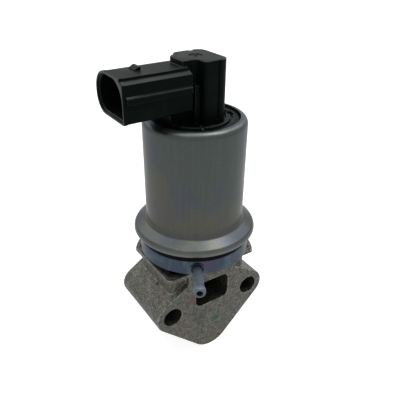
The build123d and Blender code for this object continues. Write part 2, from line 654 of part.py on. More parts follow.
def yoke_ring():
    """Flux ring that closes the circuit on top of the bobbin, with a gap for the coil blades."""
    body = ring(CAN_BORE_R - FIT, SLEEVE_R + 2 * CLOSE_FIT, BOBBIN_TOP, YOKE_TOP)
    for gap in tab_blocks(TAB_CLEAR, BOBBIN_TOP - 1, YOKE_TOP + 1):
        body -= gap
    return body


def coil_tabs():
    """Two blades that carry the coil's ends up into the head."""
    return Compound(tab_blocks(0, BOBBIN_TOP, DISC_TOP - TAB_COVER))


# ---------------------------------------------------------------- head
def tower_outline(inset=0.0):
    """Plan of the tower: a deep right half, a recessed front left half and a stepped rear left corner."""
    step_x = TOWER_LEFT + TOWER_STEP
    step_y = TOWER_REAR - TOWER_STEP
    cut = TOWER_STEP / 2
    points = [(TOWER_LEFT, TOWER_RECESS), (BARREL_LEFT, TOWER_RECESS), (BARREL_LEFT, TOWER_FRONT),
              (TOWER_RIGHT, TOWER_FRONT), (TOWER_RIGHT, TOWER_REAR), (step_x + cut, TOWER_REAR),
              (step_x, TOWER_REAR - cut), (step_x, step_y), (TOWER_LEFT + cut, step_y),
              (TOWER_LEFT, step_y - cut)]
    outline = make_face(Polyline(*points, close=True))
    right = outline.vertices().filter_by(lambda v: v.X > TOWER_RIGHT - 0.01)
    outline = fillet(right, TOWER_CORNER_R)
    barrel = [v for v in outline.vertices() if v.Y < TOWER_FRONT + 0.01 and v.X < BARREL_LEFT + 0.01]
    outline = fillet(barrel, BARREL_CORNER_R)
    recess = [v for v in outline.vertices() if abs(v.Y - TOWER_RECESS) < 0.01 and v.X > BARREL_LEFT - 0.01]
    outline = fillet(recess, RECESS_R)
    return offset(outline, -inset, kind=Kind.INTERSECTION) if inset else outline


def socket_outline(inset=0.0):
    """Section of the connector: flat top with a bevel at the front, and large rear corners."""
    near = -SOCKET_WIDTH / 2
    far = SOCKET_WIDTH / 2
    low = -SOCKET_HEIGHT / 2
    top = SOCKET_HEIGHT / 2
    bevel_top = top - SOCKET_PAD_STEP
    points = [(near, low), (far, low), (far, top), (near + SOCKET_BEVEL, top),
              (near + SOCKET_BEVEL, bevel_top), (near, bevel_top - SOCKET_BEVEL_DROP)]
    outline = make_face(Polyline(*points, close=True))
    rounded = ((near, low, SOCKET_NEAR_R), (far, low, SOCKET_FAR_LOW_R), (far, top, SOCKET_FAR_TOP_R))
    for x, z, radius in rounded:
        corner = [v for v in outline.vertices() if abs(v.X - x) < 0.01 and abs(v.Y - z) < 0.01]
        outline = fillet(corner, radius)
    return offset(outline, -inset, kind=Kind.INTERSECTION) if inset else outline


def mouth_outline(inset):
    """Section of the connector's bore: both upper corners are large and alike."""
    near = inset - SOCKET_WIDTH / 2
    far = SOCKET_WIDTH / 2 - inset
    low = inset - SOCKET_HEIGHT / 2
    top = SOCKET_HEIGHT / 2 - inset
    outline = make_face(Polyline((near, low), (far, low), (far, top), (near, top), close=True))
    rounded = ((near, low, SOCKET_NEAR_R), (far, low, SOCKET_FAR_LOW_R - inset),
               (far, top, SOCKET_FAR_TOP_R - inset), (near, top, SOCKET_FAR_TOP_R - inset))
    for x, z, radius in rounded:
        outline = fillet(outline.vertices().sort_by_distance((x, z, 0))[0], radius)
    return outline


def across_socket(outline, x):
    """An outline set across the connector at a station along X."""
    return Plane(origin=(x, SOCKET_Y, SOCKET_Z), x_dir=(0, 1, 0), z_dir=(1, 0, 0)) * outline


def socket_bar(outset, x_from, x_to):
    """The connector's section drawn out along X between two stations."""
    return extrude(across_socket(socket_outline(-outset), x_from), x_to - x_from)


def socket_bore():
    """The connector's bore with the lead-in at its mouth."""
    lead = SOCKET_WALL - SOCKET_LAND
    bore = extrude(across_socket(mouth_outline(SOCKET_WALL), -SOCKET_REACH), SOCKET_DEPTH)
    wide = across_socket(mouth_outline(SOCKET_LAND), -SOCKET_REACH)
    narrow = across_socket(mouth_outline(SOCKET_WALL), lead - SOCKET_REACH)
    return bore + loft([wide, narrow], ruled=True)


def pin_rows():
    """The y of each terminal pin."""
    first = SOCKET_Y - PIN_PITCH * (PIN_COUNT - 1) / 2
    return [first + PIN_PITCH * i for i in range(PIN_COUNT)]


def terminal_pins():
    """Five flat blades from the sensor room out into the socket."""
    low = SOCKET_Z - PIN_HEIGHT / 2
    start = SOCKET_BACK - PIN_REACH
    half = PIN_THICK / 2
    blades = [block(start, TOWER_LEFT + TOWER_WALL, y - half, y + half, low, low + PIN_HEIGHT)
              for y in pin_rows()]
    return Compound(blades)


def head_disc():
    """Stepped disc that closes the can: an outer ring, a channel and a notched inner ring."""
    outer = RING_OUTER_R
    shoulder = CAN_TOP - CAN_WALL - SHOULDER_GAP
    ring_top = DISC_TOP + RIDGE
    inner_top = DISC_TOP + INNER_RIDGE
    foot = INNER_RING_R - INNER_RING_WIDTH
    disc = turned([(0, YOKE_TOP), (DISC_R, YOKE_TOP), (DISC_R, shoulder), (outer, shoulder),
                   (outer, ring_top), (OUTER_RING_R + RING_DRAFT, ring_top), (OUTER_RING_R, DISC_TOP),
                   (INNER_RING_R, DISC_TOP), (INNER_RING_R - RING_DRAFT, inner_top),
                   (foot + RING_DRAFT, inner_top), (foot, DISC_TOP + RING_DRAFT),
                   (0, DISC_TOP + RING_DRAFT)])
    half = DISC_SLOT / 2
    notch = block(foot, OUTER_RING_R + half / 2, -half, half, DISC_TOP - RING_DRAFT, CAN_TOP)
    return disc - Rot(0, 0, DISC_SLOT_ANGLE) * notch


def latch_nub():
    """Ramp on the connector's top that catches the mating plug's latch."""
    top = SOCKET_Z + SOCKET_HEIGHT / 2
    start = NUB_X - NUB_LENGTH / 2
    end = NUB_X + NUB_LENGTH / 2
    low = top - NUB_RISE
    points = [(start, low), (start, top + NUB_STEP), (end - NUB_LAND, top + NUB_RISE),
              (end, top + NUB_RISE), (end, low)]
    side = Plane.XZ * make_face(Polyline(*points, close=True))
    return Pos(0, SOCKET_Y + NUB_WIDTH / 2, 0) * extrude(side, NUB_WIDTH)


def side_rail():
    """Rail along the connector's front side, with a sloping top."""
    side = SOCKET_Y - SOCKET_WIDTH / 2
    low = RAIL_TOP - RAIL_HEIGHT
    start = -SOCKET_REACH + SOCKET_LIP_LENGTH
    plane = Plane(origin=(start, 0, 0), x_dir=(0, 1, 0), z_dir=(1, 0, 0))
    points = [(side + 1, low), (side - RAIL_RISE, low), (side - RAIL_RISE, RAIL_TOP),
              (side, RAIL_TOP + RAIL_RISE), (side + 1, RAIL_TOP + RAIL_RISE)]
    profile = make_face(Polyline(*points, close=True))
    return extrude(plane * profile, TOWER_LEFT + TOWER_WALL - start)


def sensor_housing():
    """One moulding: stepped disc held by the can's rim, sensor tower, and connector shroud."""
    body = head_disc()
    body += extrude(Pos(0, 0, DISC_TOP - 1) * tower_outline(), TOWER_TOP - DISC_TOP + 1)
    body += socket_bar(0, -SOCKET_REACH, TOWER_LEFT + TOWER_WALL)
    body += socket_bar(SOCKET_LIP, -SOCKET_REACH, -SOCKET_REACH + SOCKET_LIP_LENGTH)
    under = SOCKET_Z - SOCKET_HEIGHT / 2
    web = block(WEB_LEFT, TOWER_LEFT + 1, SOCKET_Y - WEB_HALF, SOCKET_Y + WEB_HALF, DISC_TOP, under + 1)
    body += web & rod(RING_OUTER_R, DISC_TOP, under + 1)
    body += side_rail()
    body += block(FIN_LEFT, FIN_LEFT + FIN_THICK, FIN_FRONT, TOWER_RECESS + 1, DISC_TOP, RAIL_TOP)
    rib_right = FIN_LEFT + FOOT_RIB_THICK
    rib_front = FIN_FRONT - FOOT_RIB
    body += block(FIN_LEFT, rib_right, rib_front, FIN_FRONT, DISC_TOP, DISC_TOP + INNER_RIDGE)
    body += latch_nub()
    groove_foot = DISC_TOP + GROOVE_RISE
    body -= rod(GROOVE_FRONT_R, groove_foot, TOWER_TOP + 1, GROOVE_X, TOWER_FRONT)
    body -= rod(GROOVE_REAR_R, groove_foot, TOWER_TOP + 1, GROOVE_X, TOWER_REAR)
    body -= extrude(Pos(0, 0, SENSOR_FLOOR) * tower_outline(TOWER_WALL), TOWER_TOP)
    body -= extrude(Pos(0, 0, LID_LOW) * tower_outline(LID_INSET), LID_THICK + 1)
    body -= socket_bore()
    body -= terminal_pins()
    body -= rod(SLEEVE_R, YOKE_TOP - 1, SENSOR_FLOOR - NUT_ROOF)
    body -= rod(PLUNGER_R + FIT, YOKE_TOP, SENSOR_FLOOR + 1)
    for gap in tab_blocks(0, YOKE_TOP - 1, DISC_TOP - TAB_COVER):
        body -= gap
    groove = YOKE_TOP + SEAL_RISE
    body -= ring(DISC_R + 1, DISC_R - SEAL_SIZE, groove, groove + SEAL_SIZE)
    return body


def head_seal():
    """O ring, squeezed square with rounded corners in the groove of the head's disc."""
    low = YOKE_TOP + SEAL_RISE
    top = low + SEAL_SIZE
    inner = DISC_R - SEAL_SIZE
    cut = SEAL_SIZE / 4
    return turned([(inner + cut, low), (DISC_R - cut, low), (DISC_R, low + cut), (DISC_R, top - cut),
                   (DISC_R - cut, top), (inner + cut, top), (inner, top - cut), (inner, low + cut)])


def tower_lid():
    """Lid let into the top of the tower, with a shallow round and a pip in its upper face."""
    lid = extrude(Pos(0, 0, LID_LOW) * tower_outline(LID_INSET), LID_THICK)
    low = TOWER_TOP - LID_MARK_DEPTH
    mark = rod(LID_MARK_R, low, TOWER_TOP + 1, LID_MARK_X, LID_MARK_Y)
    pip = rod(LID_PIP_R, low - 1, TOWER_TOP + 1, LID_MARK_X, LID_MARK_Y)
    return lid - (mark - pip)


def sensor_plunger():
    """Plunger that rests on the stem, with the wiper carrier on it."""
    pin = rod(PLUNGER_R, STEM_TOP + PLUNGER_GAP, CARRIER_Z)
    half = CARRIER / 2
    depth = CARRIER_DEPTH / 2
    carrier = block(-half, half, -depth, depth, CARRIER_Z, CARRIER_Z + CARRIER_HEIGHT)
    return pin + carrier - rod(PLUNGER_R, CARRIER_Z + CARRIER_POCKET, CARRIER_Z + CARRIER_HEIGHT + 1)


def board_face():
    """Front of the track plate, which stands just off the tower's rear wall."""
    return TOWER_REAR - TOWER_WALL - FIT - BOARD_THICK


def sensor_wiper():
    """Two sprung contact strips on the carrier, close to the tracks."""
    face = CARRIER_DEPTH / 2
    low = CARRIER_Z + WIPER_RISE
    top = low + WIPER_HEIGHT
    half = WIPER_WIDTH / 2
    tip = board_face() - FIT
    strips = [block(x - half, x + half, face, face + WIPER_THICK, low, top) +
              block(x - half, x + half, face, tip, top - WIPER_THICK, top)
              for x in (BOARD_X - TRACK_PITCH / 2, BOARD_X + TRACK_PITCH / 2)]
    return Compound(strips)


def sensor_board():
    """Plate with the resistor tracks, on the rear wall of the tower."""
    face = board_face()
    half = BOARD_WIDTH / 2
    return block(BOARD_X - half, BOARD_X + half, face, face + BOARD_THICK, SENSOR_FLOOR, LID_LOW - FIT)


put(base_casting(), "base_casting")
put(valve_seat(), "valve_seat")
put(stem_guide(), "stem_guide")
put(deposit_shield(), "deposit_shield")
put(stem_seal(), "stem_seal")
put(spacer_gasket(), "spacer_gasket")
put(vent_spacer(), "vent_spacer")
put(vent_nipple(), "vent_nipple")
put(flange_gasket(), "flange_gasket")
put(pole_piece(), "pole_piece")
put(body_screws(), "body_screws")
put(solenoid_can(), "solenoid_can")
put(guide_sleeve(), "guide_sleeve")
put(bobbin(), "bobbin")
put(coil_winding(), "coil_winding")
put(yoke_ring(), "yoke_ring")
put(coil_tabs(), "coil_tabs")
put(sensor_housing(), "sensor_housing")
put(head_seal(), "head_seal")
put(tower_lid(), "tower_lid")
put(terminal_pins(), "terminal_pins")
put(sensor_board(), "sensor_board")
put(valve_disc(), "valve_disc")
put(valve_stem(), "valve_stem")
put(spring_seat(), "spring_seat")
put(armature(), "armature")
put(armature_nut(), "armature_nut")
put(sensor_plunger(), "sensor_plunger")
put(sensor_wiper(), "sensor_wiper")
put(return_spring(), "return_spring")
put(plunger_spring(), "plunger_spring")
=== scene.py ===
"""Finish and studio for the solenoid exhaust gas recirculation valve.

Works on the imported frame, in metres: +Z runs up along the valve axis, the connector points to -X and the
front flange faces -Y. Each finished piece follows the frame's bodies.
"""
import json
import math
from contextlib import contextmanager

import bmesh
import bpy
import numpy as np
from bpy.props import FloatProperty, FloatVectorProperty, IntProperty, PointerProperty
from mathutils import Matrix, Vector
from mathutils.bvhtree import BVHTree


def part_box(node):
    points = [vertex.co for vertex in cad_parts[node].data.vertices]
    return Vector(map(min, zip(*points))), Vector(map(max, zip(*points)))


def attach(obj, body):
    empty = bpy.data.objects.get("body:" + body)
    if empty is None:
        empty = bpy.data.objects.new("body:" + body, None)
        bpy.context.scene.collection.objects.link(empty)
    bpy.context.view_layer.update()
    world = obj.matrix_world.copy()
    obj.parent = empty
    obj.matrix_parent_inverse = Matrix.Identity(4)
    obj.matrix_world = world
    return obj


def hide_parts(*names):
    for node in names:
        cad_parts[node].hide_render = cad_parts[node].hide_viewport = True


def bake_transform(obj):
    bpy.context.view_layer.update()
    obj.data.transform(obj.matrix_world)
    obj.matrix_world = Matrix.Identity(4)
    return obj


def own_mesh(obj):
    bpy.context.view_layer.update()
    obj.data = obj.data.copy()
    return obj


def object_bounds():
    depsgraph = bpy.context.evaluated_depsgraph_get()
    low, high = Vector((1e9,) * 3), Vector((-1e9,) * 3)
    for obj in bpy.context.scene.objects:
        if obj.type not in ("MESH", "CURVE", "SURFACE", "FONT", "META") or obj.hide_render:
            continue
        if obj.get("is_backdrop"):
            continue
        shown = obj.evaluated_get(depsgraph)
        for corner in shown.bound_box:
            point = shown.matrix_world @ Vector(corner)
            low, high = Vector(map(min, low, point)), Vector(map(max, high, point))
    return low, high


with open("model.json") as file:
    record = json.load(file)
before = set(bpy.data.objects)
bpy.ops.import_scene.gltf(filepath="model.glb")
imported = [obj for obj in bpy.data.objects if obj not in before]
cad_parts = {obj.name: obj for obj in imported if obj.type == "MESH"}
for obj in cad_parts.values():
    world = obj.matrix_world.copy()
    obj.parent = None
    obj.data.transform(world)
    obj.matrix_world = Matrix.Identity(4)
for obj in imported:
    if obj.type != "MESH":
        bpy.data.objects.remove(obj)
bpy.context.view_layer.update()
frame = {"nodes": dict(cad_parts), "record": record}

bl_info = {
    "name": "Gas recirculation valve finish",
    "version": (1, 0, 0),
    "blender": (4, 5, 0),
    "location": "View3D > Sidebar > Valve",
    "description": "Builds the finished surfaces of a solenoid gas valve and its studio",
    "category": "Object",
}

MM = 0.001
SLOT_OF = {row["node"]: row["material_slot"] for row in frame["record"]["subparts"]}
BODY_OF = {node: body for body, nodes in frame["record"]["behaviour"]["bodies"].items() for node in nodes}

# Marks: middle in millimetres, radius in millimetres, colour and strength. The casting's are stains but for one painted
# shadow; the moulding's are painted glints.
CAST_SPOTS = (((2.3, -32.0, -11.4), 1.9, (0.012, 0.062, 0.030), 0.75),
              # Painted shadow: near-black spot where the plate's left edge shades the lug below it.
              ((-19.6, -18.5, 9.0), 1.1, (0.006, 0.006, 0.006), 0.9),
              ((-10.6, -32.0, 5.2), 2.9, (0.105, 0.060, 0.046), 0.6),
              ((-1.5, -32.0, -3.5), 2.4, (0.100, 0.070, 0.058), 0.4),
              ((6.5, -32.0, -17.0), 2.8, (0.055, 0.066, 0.050), 0.5))
# Painted glints: two light spots where the low rib at the fin's foot catches the light.
PAINTED_PLASTIC_GLINTS = (((-4.7, -29.4, 80.0), 0.5, (0.11, 0.12, 0.12), 0.8),
                 ((-4.3, -27.9, 80.4), 0.4, (0.09, 0.10, 0.10), 0.7))

# Heights between which the tarnish sets in from below and fades out upwards, in metres.
TARNISH_FOOT = (0.036, 0.041)
TARNISH_HEAD = (0.056, 0.040)

# Lamps: name, place from the valve's middle, width and the setting that holds the power.
LAMPS = (("overhead softbox", (0.0, 0.1, 0.8), 0.9, "overhead_power"),
         ("back softbox", (-0.22, 0.6, 0.5), 0.5, "back_power"),
         ("side lamp", (0.58, 0.08, 0.45), 0.3, "side_power"),
         ("key lamp", (0.24, -0.12, 0.56), 0.28, "key_power"))

MERGE = 0.002 * MM           # points closer than this are one
SLIVER = 0.0005 * MM         # edges shorter than this are removed
FLAT = math.radians(0.3)     # faces closer in direction than this are joined
SHARP = math.radians(28)     # edges sharper than this are rounded
CREASE = math.radians(50)    # edges sharper than this stay sharp in the shading
FOLDED = math.radians(120)   # faces that turn by more than this lie folded on each other
LEAST_FOLD = 0.01 * MM * MM  # area under which a fold doesn't matter
THROWN = 0.75                # part of the rounding's width that a point may stand off the solid


# ------------------------------------------------------------------ settings
def length(name, description, default):
    """A size in metres, given in millimetres."""
    return FloatProperty(name=name, description=description, default=default * MM, unit="LENGTH", precision=5)


def tint(name, description, default):
    """A colour without alpha."""
    return FloatVectorProperty(name=name, description=description, default=default, subtype="COLOR", size=3,
                               min=0, max=1)


class ValveSizes(bpy.types.PropertyGroup):
    axis_back: length("Axis from rear face", "Distance of the valve axis from the rear face", 17.2)
    can_radius: length("Can radius", "Outer radius of the solenoid can", 20.0)
    can_wall: length("Can wall", "Sheet thickness of the can", 1.2)
    flange_radius: length("Flange radius", "Outer radius of the can's rolled flange", 25.3)
    mouth_radius: length("Mouth radius", "Opening in the top of the can", 17.2)
    flare: length("Flare", "Radius between the can and its flange", 2.0)
    flange_fall: length("Flange fall", "Fall of the flange from the wall to its edge", 3.2)
    flange_roll: length("Flange roll", "Outer rounding of the flange", 2.6)
    flange_lip: length("Flange lip", "Depth of the flange's turned down edge", 1.9)
    rim_roll: length("Rim roll", "Rounding of the can's upper rim", 2.7)
    lip_edge: length("Lip edge", "Rounding of the turned down edge's foot", 0.35)
    sheet_edge: length("Sheet edge", "Rounding of the sheet's cut edges", 0.08)
    cast_edge: length("Cast edge", "Rounding of the casting's edges", 0.35)
    machined_edge: length("Machined edge", "Rounding of turned steel edges", 0.15)
    moulded_edge: length("Moulded edge", "Rounding of the moulding's edges", 0.2)
    body_depth: length("Body depth", "Depth of the casting between its faces", 32.0)
    skin_depth: length("Skin depth", "How far behind a face its passages begin", 0.6)
    hole_offset: length("Hole offset", "Bolt hole from the middle", 20.0)
    hole_radius: length("Hole radius", "Radius of the bolt holes", 4.4)
    window_half: length("Window half width", "Half the width of the outlet window", 8.3)
    window_low: length("Window low", "Lower edge of the outlet window", -0.4)
    window_high: length("Window high", "Upper edge of the outlet window", 12.1)
    port_radius: length("Port radius", "Radius of the inlet port", 8.0)
    port_drop: length("Port drop", "Inlet port below the bolt holes", 15.8)
    passage_margin: length("Passage margin", "Reach of a passage beyond its outline", 0.1)
    chamber_margin: length("Chamber margin", "Reach of the lower chamber beyond the port's radius", 0.5)
    pocket_side: length("Pocket side", "Pockets' side walls from the middle", 17.2)
    pocket_front: length("Pocket front", "Pockets' front wall from the valve axis", -10.4)
    pocket_rear: length("Pocket rear", "Pockets' rear wall from the valve axis", 12.8)
    pocket_floor: length("Pocket floor", "Floor of the pockets", 10.1)
    pocket_top: length("Pocket top", "Where the plate's sunk top begins", 18.7)
    socket_end: length("Connector end", "Where the connector meets the tower, from the valve axis", 7.0)
    mouth_land: length("Mouth land", "The connector's end face lies beyond this distance from the valve axis", 32.6)
    socket_middle: length("Connector middle", "Height of the connector's axis", 92.6)
    fin_left: length("Fin left", "Left limit of the tower's fin", -5.0)
    fin_right: length("Fin right", "Right limit of the tower's fin", -2.9)
    fin_back: length("Fin back", "Rear limit of the fin from the valve axis", -3.0)
    nipple_turn: FloatProperty(name="Nipple turn", description="Direction of the hose nipple from +X",
                               default=math.radians(240), subtype="ANGLE")
    nipple_height: length("Nipple height", "Height of the nipple's axis", 26.0)
    nipple_bore: length("Nipple bore", "Radius of the nipple's bore", 1.2)
    nipple_tube: length("Nipple tube", "Outer radius of the nipple's tube", 1.9)
    nipple_bead: length("Nipple bead", "Radius of the bead at its end", 2.35)
    bead_length: length("Bead length", "Length of the bead with its taper", 3.6)
    bead_taper: length("Bead taper", "Length over which the bead swells", 1.0)
    nipple_root: length("Nipple root", "Where the nipple starts inside the ring", 18.5)
    nipple_tip: length("Nipple tip", "Where the nipple ends", 37.96)
    round_steps: IntProperty(name="Round steps", description="Faces round a turned piece", default=192, min=24)


class ValveColours(bpy.types.PropertyGroup):
    zinc: tint("Zinc", "Dull zinc of the can", (0.056, 0.065, 0.061))
    zinc_cool: tint("Zinc, cool", "Bluish patches of the plating", (0.055, 0.061, 0.080))
    zinc_warm: tint("Zinc, warm", "Straw coloured patches of the plating", (0.072, 0.071, 0.056))
    # Painted highlight: paler zinc for the light lines along the flange's lip and the rim.
    zinc_highlight_paint: tint("Zinc, worn", "Rubbed edges of the can", (0.120, 0.126, 0.118))
    blue: tint("Blue plating", "Blue passivated ring", (0.0335, 0.0465, 0.067))
    blue_cool: tint("Blue plating, pale", "Paler patches of the ring", (0.052, 0.079, 0.099))
    blue_warm: tint("Blue plating, violet", "Violet patches of the ring", (0.062, 0.042, 0.076))
    nipple: tint("Nipple plating", "Paler blue of the hose nipple", (0.096, 0.118, 0.145))
    cast: tint("Casting", "Cast aluminium", (0.080, 0.081, 0.070))
    cast_dark: tint("Casting, dark", "Dark pores and stains", (0.030, 0.030, 0.027))
    cast_stain: tint("Casting, stain", "Brownish stains", (0.090, 0.076, 0.062))
    # Painted shade: the dark of the bores, gas passages and corner pockets stands for the shade in these recesses.
    soot: tint("Painted passage shade", "Dark inside of the bores and gas passages", (0.021, 0.022, 0.017))
    plastic: tint("Plastic", "Black moulding", (0.0026, 0.0042, 0.0038))
    # Dust, and on the rounded edges, bevel, rail, end face and fin top a painted highlight.
    plastic_dust_and_highlight: tint("Plastic, worn", "Dust and rubbed spots of the moulding", (0.030, 0.034, 0.032))
    plastic_top: tint("Plastic, top", "Dulled top of the connector", (0.0035, 0.0045, 0.0042))
    lid: tint("Lid", "Paler black of the tower's lid", (0.011, 0.013, 0.012))
    bright_steel: tint("Bright steel", "Seat, valve, screws, shield and springs", (0.42, 0.42, 0.41))
    dark_steel: tint("Dark steel", "Pole plate, yoke ring and armature", (0.009, 0.010, 0.010))
    bronze: tint("Bronze", "Stem guide", (0.42, 0.27, 0.12))
    copper: tint("Copper", "Winding", (0.52, 0.2, 0.09))
    tinned_brass: tint("Tinned brass", "Blades, wiper and guide sleeve", (0.5, 0.45, 0.36))
    natural_plastic: tint("Natural plastic", "Bobbin, stem seal and sensor plunger", (0.55, 0.5, 0.4))
    natural_dust: tint("Natural plastic, dull", "Dull spots of the natural plastic", (0.45, 0.42, 0.35))
    # Black rubber; under the can's flange the gasket's black also stands in for the shade of the gap, as painted shade.
    rubber: tint("Rubber", "Gasket under the can and seal of the head", (0.006, 0.008, 0.009))
    rubber_dust: tint("Rubber, dusty", "Dust on the rubber", (0.02, 0.024, 0.024))
    fibre: tint("Gasket fibre", "Spacer gasket", (0.04, 0.04, 0.038))
    fibre_dust: tint("Gasket fibre, dusty", "Dust on the spacer gasket", (0.08, 0.075, 0.07))
    board: tint("Board", "Sensor's track plate", (0.03, 0.08, 0.04))
    board_dust: tint("Board, dusty", "Dust on the track plate", (0.06, 0.12, 0.08))


class ValveStudio(bpy.types.PropertyGroup):
    place: FloatVectorProperty(name="Place", description="Place of the camera", subtype="TRANSLATION", size=3,
                               default=(-0.09347, -0.15887, 0.14107), precision=5)
    lens: FloatProperty(name="Lens", description="Focal length in millimetres", default=42.415)
    sensor: FloatProperty(name="Sensor", description="Width of the sensor in millimetres", default=36.0)
    shift_x: FloatProperty(name="Shift X", description="Sideways shift of the lens", default=0.0216)
    shift_y: FloatProperty(name="Shift Y", description="Upward shift of the lens", default=0.0479)
    heading: FloatProperty(name="Heading", description="Turn from +Y towards +X", default=math.radians(33.016),
                           subtype="ANGLE")
    tilt: FloatProperty(name="Tilt", description="Downward tilt", default=math.radians(32.104), subtype="ANGLE")
    roll: FloatProperty(name="Roll", description="Roll about the line of sight", default=math.radians(0.196),
                        subtype="ANGLE")
    key_power: FloatProperty(name="Key power", description="Power of the small lamp", default=1.7)
    overhead_power: FloatProperty(name="Overhead power", description="Power of the overhead softbox", default=6.0)
    back_power: FloatProperty(name="Back power", description="Power of the softbox behind", default=1.3)
    side_power: FloatProperty(name="Side power", description="Power of the lamp at the right", default=0.9)
    room: FloatProperty(name="Room", description="Strength of the room's even light", default=0.3)


def sizes():
    return bpy.context.scene.valve_sizes


def colours():
    return bpy.context.scene.valve_colours


# ------------------------------------------------------------------ node helpers
def put(tree, kind, inputs=None, **settings):
    """Adds a node; an input that is a socket is linked and any other is set."""
    node = tree.nodes.new(kind)
    for key, value in settings.items():
        setattr(node, key, value)
    for key, value in (inputs or {}).items():
        if isinstance(value, bpy.types.NodeSocket):
            tree.links.new(value, node.inputs[key])
        else:
            node.inputs[key].default_value = value
    return node


def maths(tree, operation, a, b=0.0, clamp=False):
    """One arithmetic node."""
    node = put(tree, "ShaderNodeMath", {0: a, 1: b}, operation=operation, use_clamp=clamp)
    return node.outputs[0]


def plus(tree, a, b, clamp=False):
    return maths(tree, "ADD", a, b, clamp)


def times(tree, a, b, clamp=False):
    return maths(tree, "MULTIPLY", a, b, clamp)


def swung(tree, base, value, reach):
    """Base plus reach times the distance of value from one half."""
    return plus(tree, base, times(tree, maths(tree, "SUBTRACT", value, 0.5), reach))


def mixture(tree, a, part, b):
    """That part of a and the rest of b."""
    return plus(tree, times(tree, a, part), times(tree, b, 1 - part))


def blend(tree, factor, a, b, kind="MIX"):
    """Mixes two colours."""
    node = put(tree, "ShaderNodeMix", data_type="RGBA", blend_type=kind, clamp_factor=True)
    for socket, value in ((node.inputs[0], factor), (node.inputs[6], a), (node.inputs[7], b)):
        if isinstance(value, bpy.types.NodeSocket):
            tree.links.new(value, socket)
        else:
            socket.default_value = value
    return node.outputs[2]


def spread(tree, value, low, high, to_low=0.0, to_high=1.0):
    """Maps a range smoothly onto another."""
    node = put(tree, "ShaderNodeMapRange", {0: value, 1: low, 2: high, 3: to_low, 4: to_high},
               interpolation_type="SMOOTHSTEP")
    return node.outputs[0]


def noise(tree, where, scale, detail=3.0, rough=0.55, warp=0.0):
    """Fractal noise around one half."""
    node = put(tree, "ShaderNodeTexNoise",
               {"Vector": where, "Scale": scale, "Detail": detail, "Roughness": rough, "Distortion": warp})
    return node.outputs[0]


def stretched(tree, where, scale):
    """Coordinates scaled by axis."""
    return put(tree, "ShaderNodeMapping", {"Vector": where, "Scale": scale}).outputs[0]


def rgba(colour):
    return (*colour, 1.0)


def group(name, given):
    """A new skin: its tree, the sockets of its inputs and those of its output node."""
    tree = bpy.data.node_groups.new(name, "ShaderNodeTree")
    for label, default in given.items():
        kind = "NodeSocketColor" if isinstance(default, tuple) else "NodeSocketFloat"
        tree.interface.new_socket(label, in_out="INPUT", socket_type=kind).default_value = default
    for label, kind in (("Colour", "NodeSocketColor"), ("Roughness", "NodeSocketFloat"), ("Height", "NodeSocketFloat")):
        tree.interface.new_socket(label, in_out="OUTPUT", socket_type=kind)
    return tree, put(tree, "NodeGroupInput").outputs, put(tree, "NodeGroupOutput").inputs


def give(tree, out, colour, roughness, height):
    """Links the results of a skin to its outputs."""
    for label, value in (("Colour", colour), ("Roughness", roughness), ("Height", height)):
        tree.links.new(value, out[label])
    return tree


def seen(tree):
    """One for camera, mirror and glass rays, zero for the rays that light diffuse surfaces."""
    path = put(tree, "ShaderNodeLightPath").outputs
    return plus(tree, plus(tree, path["Is Camera Ray"], path["Is Glossy Ray"]), path["Is Transmission Ray"], True)


# ------------------------------------------------------------------ skins
def spotted(tree, where, tone, spots):
    """Small marks with ragged borders: each covers what lies within its radius of its middle, and fades outwards."""
    ragged = noise(tree, where, 1100.0)
    for middle, radius, colour, weight in spots:
        middle, radius = Vector(middle) * MM, radius * MM
        away = put(tree, "ShaderNodeVectorMath", {0: where, 1: middle}, operation="DISTANCE").outputs["Value"]
        away = swung(tree, away, ragged, 1.6 * radius)
        tone = blend(tree, spread(tree, away, radius, 0.45 * radius, 0.0, weight), tone, rgba(colour))
    return tone


def plated_skin():
    """Plated steel: slow drifts between three tones, a band of tarnish, a painted highlight on the can's edges, fine
    grain and drawing marks.
    """
    tree, given, out = group("Plated skin", {
        "Base": (0.1, 0.1, 0.1, 1), "Cool": (0.1, 0.1, 0.12, 1), "Warm": (0.12, 0.11, 0.1, 1),
        "Worn": (0.2, 0.2, 0.2, 1), "Tarnish": 0.0, "Patch": 60.0, "Drift": 0.6, "Roughness": 0.4})
    where = put(tree, "ShaderNodeTexCoord").outputs["Object"]
    cool = noise(tree, where, given["Patch"], 4.0, 0.6, 0.4)
    shifted = put(tree, "ShaderNodeMapping", {"Vector": where, "Location": (0.31, 0.17, 0.23)}).outputs[0]
    warm = noise(tree, shifted, given["Patch"], 4.0, 0.6, 0.6)
    tone = blend(tree, times(tree, spread(tree, cool, 0.46, 0.62), given["Drift"]), given["Base"], given["Cool"])
    tone = blend(tree, times(tree, spread(tree, warm, 0.5, 0.66), given["Drift"]), tone, given["Warm"])
    height = put(tree, "ShaderNodeSeparateXYZ", {0: where}).outputs["Z"]
    uneven = swung(tree, height, warm, 0.06)
    band = times(tree, spread(tree, uneven, *TARNISH_HEAD), spread(tree, height, *TARNISH_FOOT))
    tone = blend(tree, times(tree, band, given["Tarnish"]), tone, given["Warm"])
    # Painted highlight where the can's mesh carries it; other pieces have none.
    wear = put(tree, "ShaderNodeAttribute", attribute_name="wear").outputs["Fac"]
    tone = blend(tree, times(tree, wear, spread(tree, cool, 0.3, 0.6, 0.6, 1.0)), tone, given["Worn"])
    grain = noise(tree, where, 2500.0, 2.0, 0.6)
    marks = noise(tree, stretched(tree, where, (1.0, 1.0, 0.06)), 900.0, 2.0, 0.5)
    shade = spread(tree, mixture(tree, grain, 0.75, marks), 0.3, 0.7, 0.88, 1.12)
    return give(tree, out, blend(tree, 1.0, tone, shade, "MULTIPLY"), swung(tree, given["Roughness"], cool, 0.3),
                mixture(tree, grain, 0.8, marks))


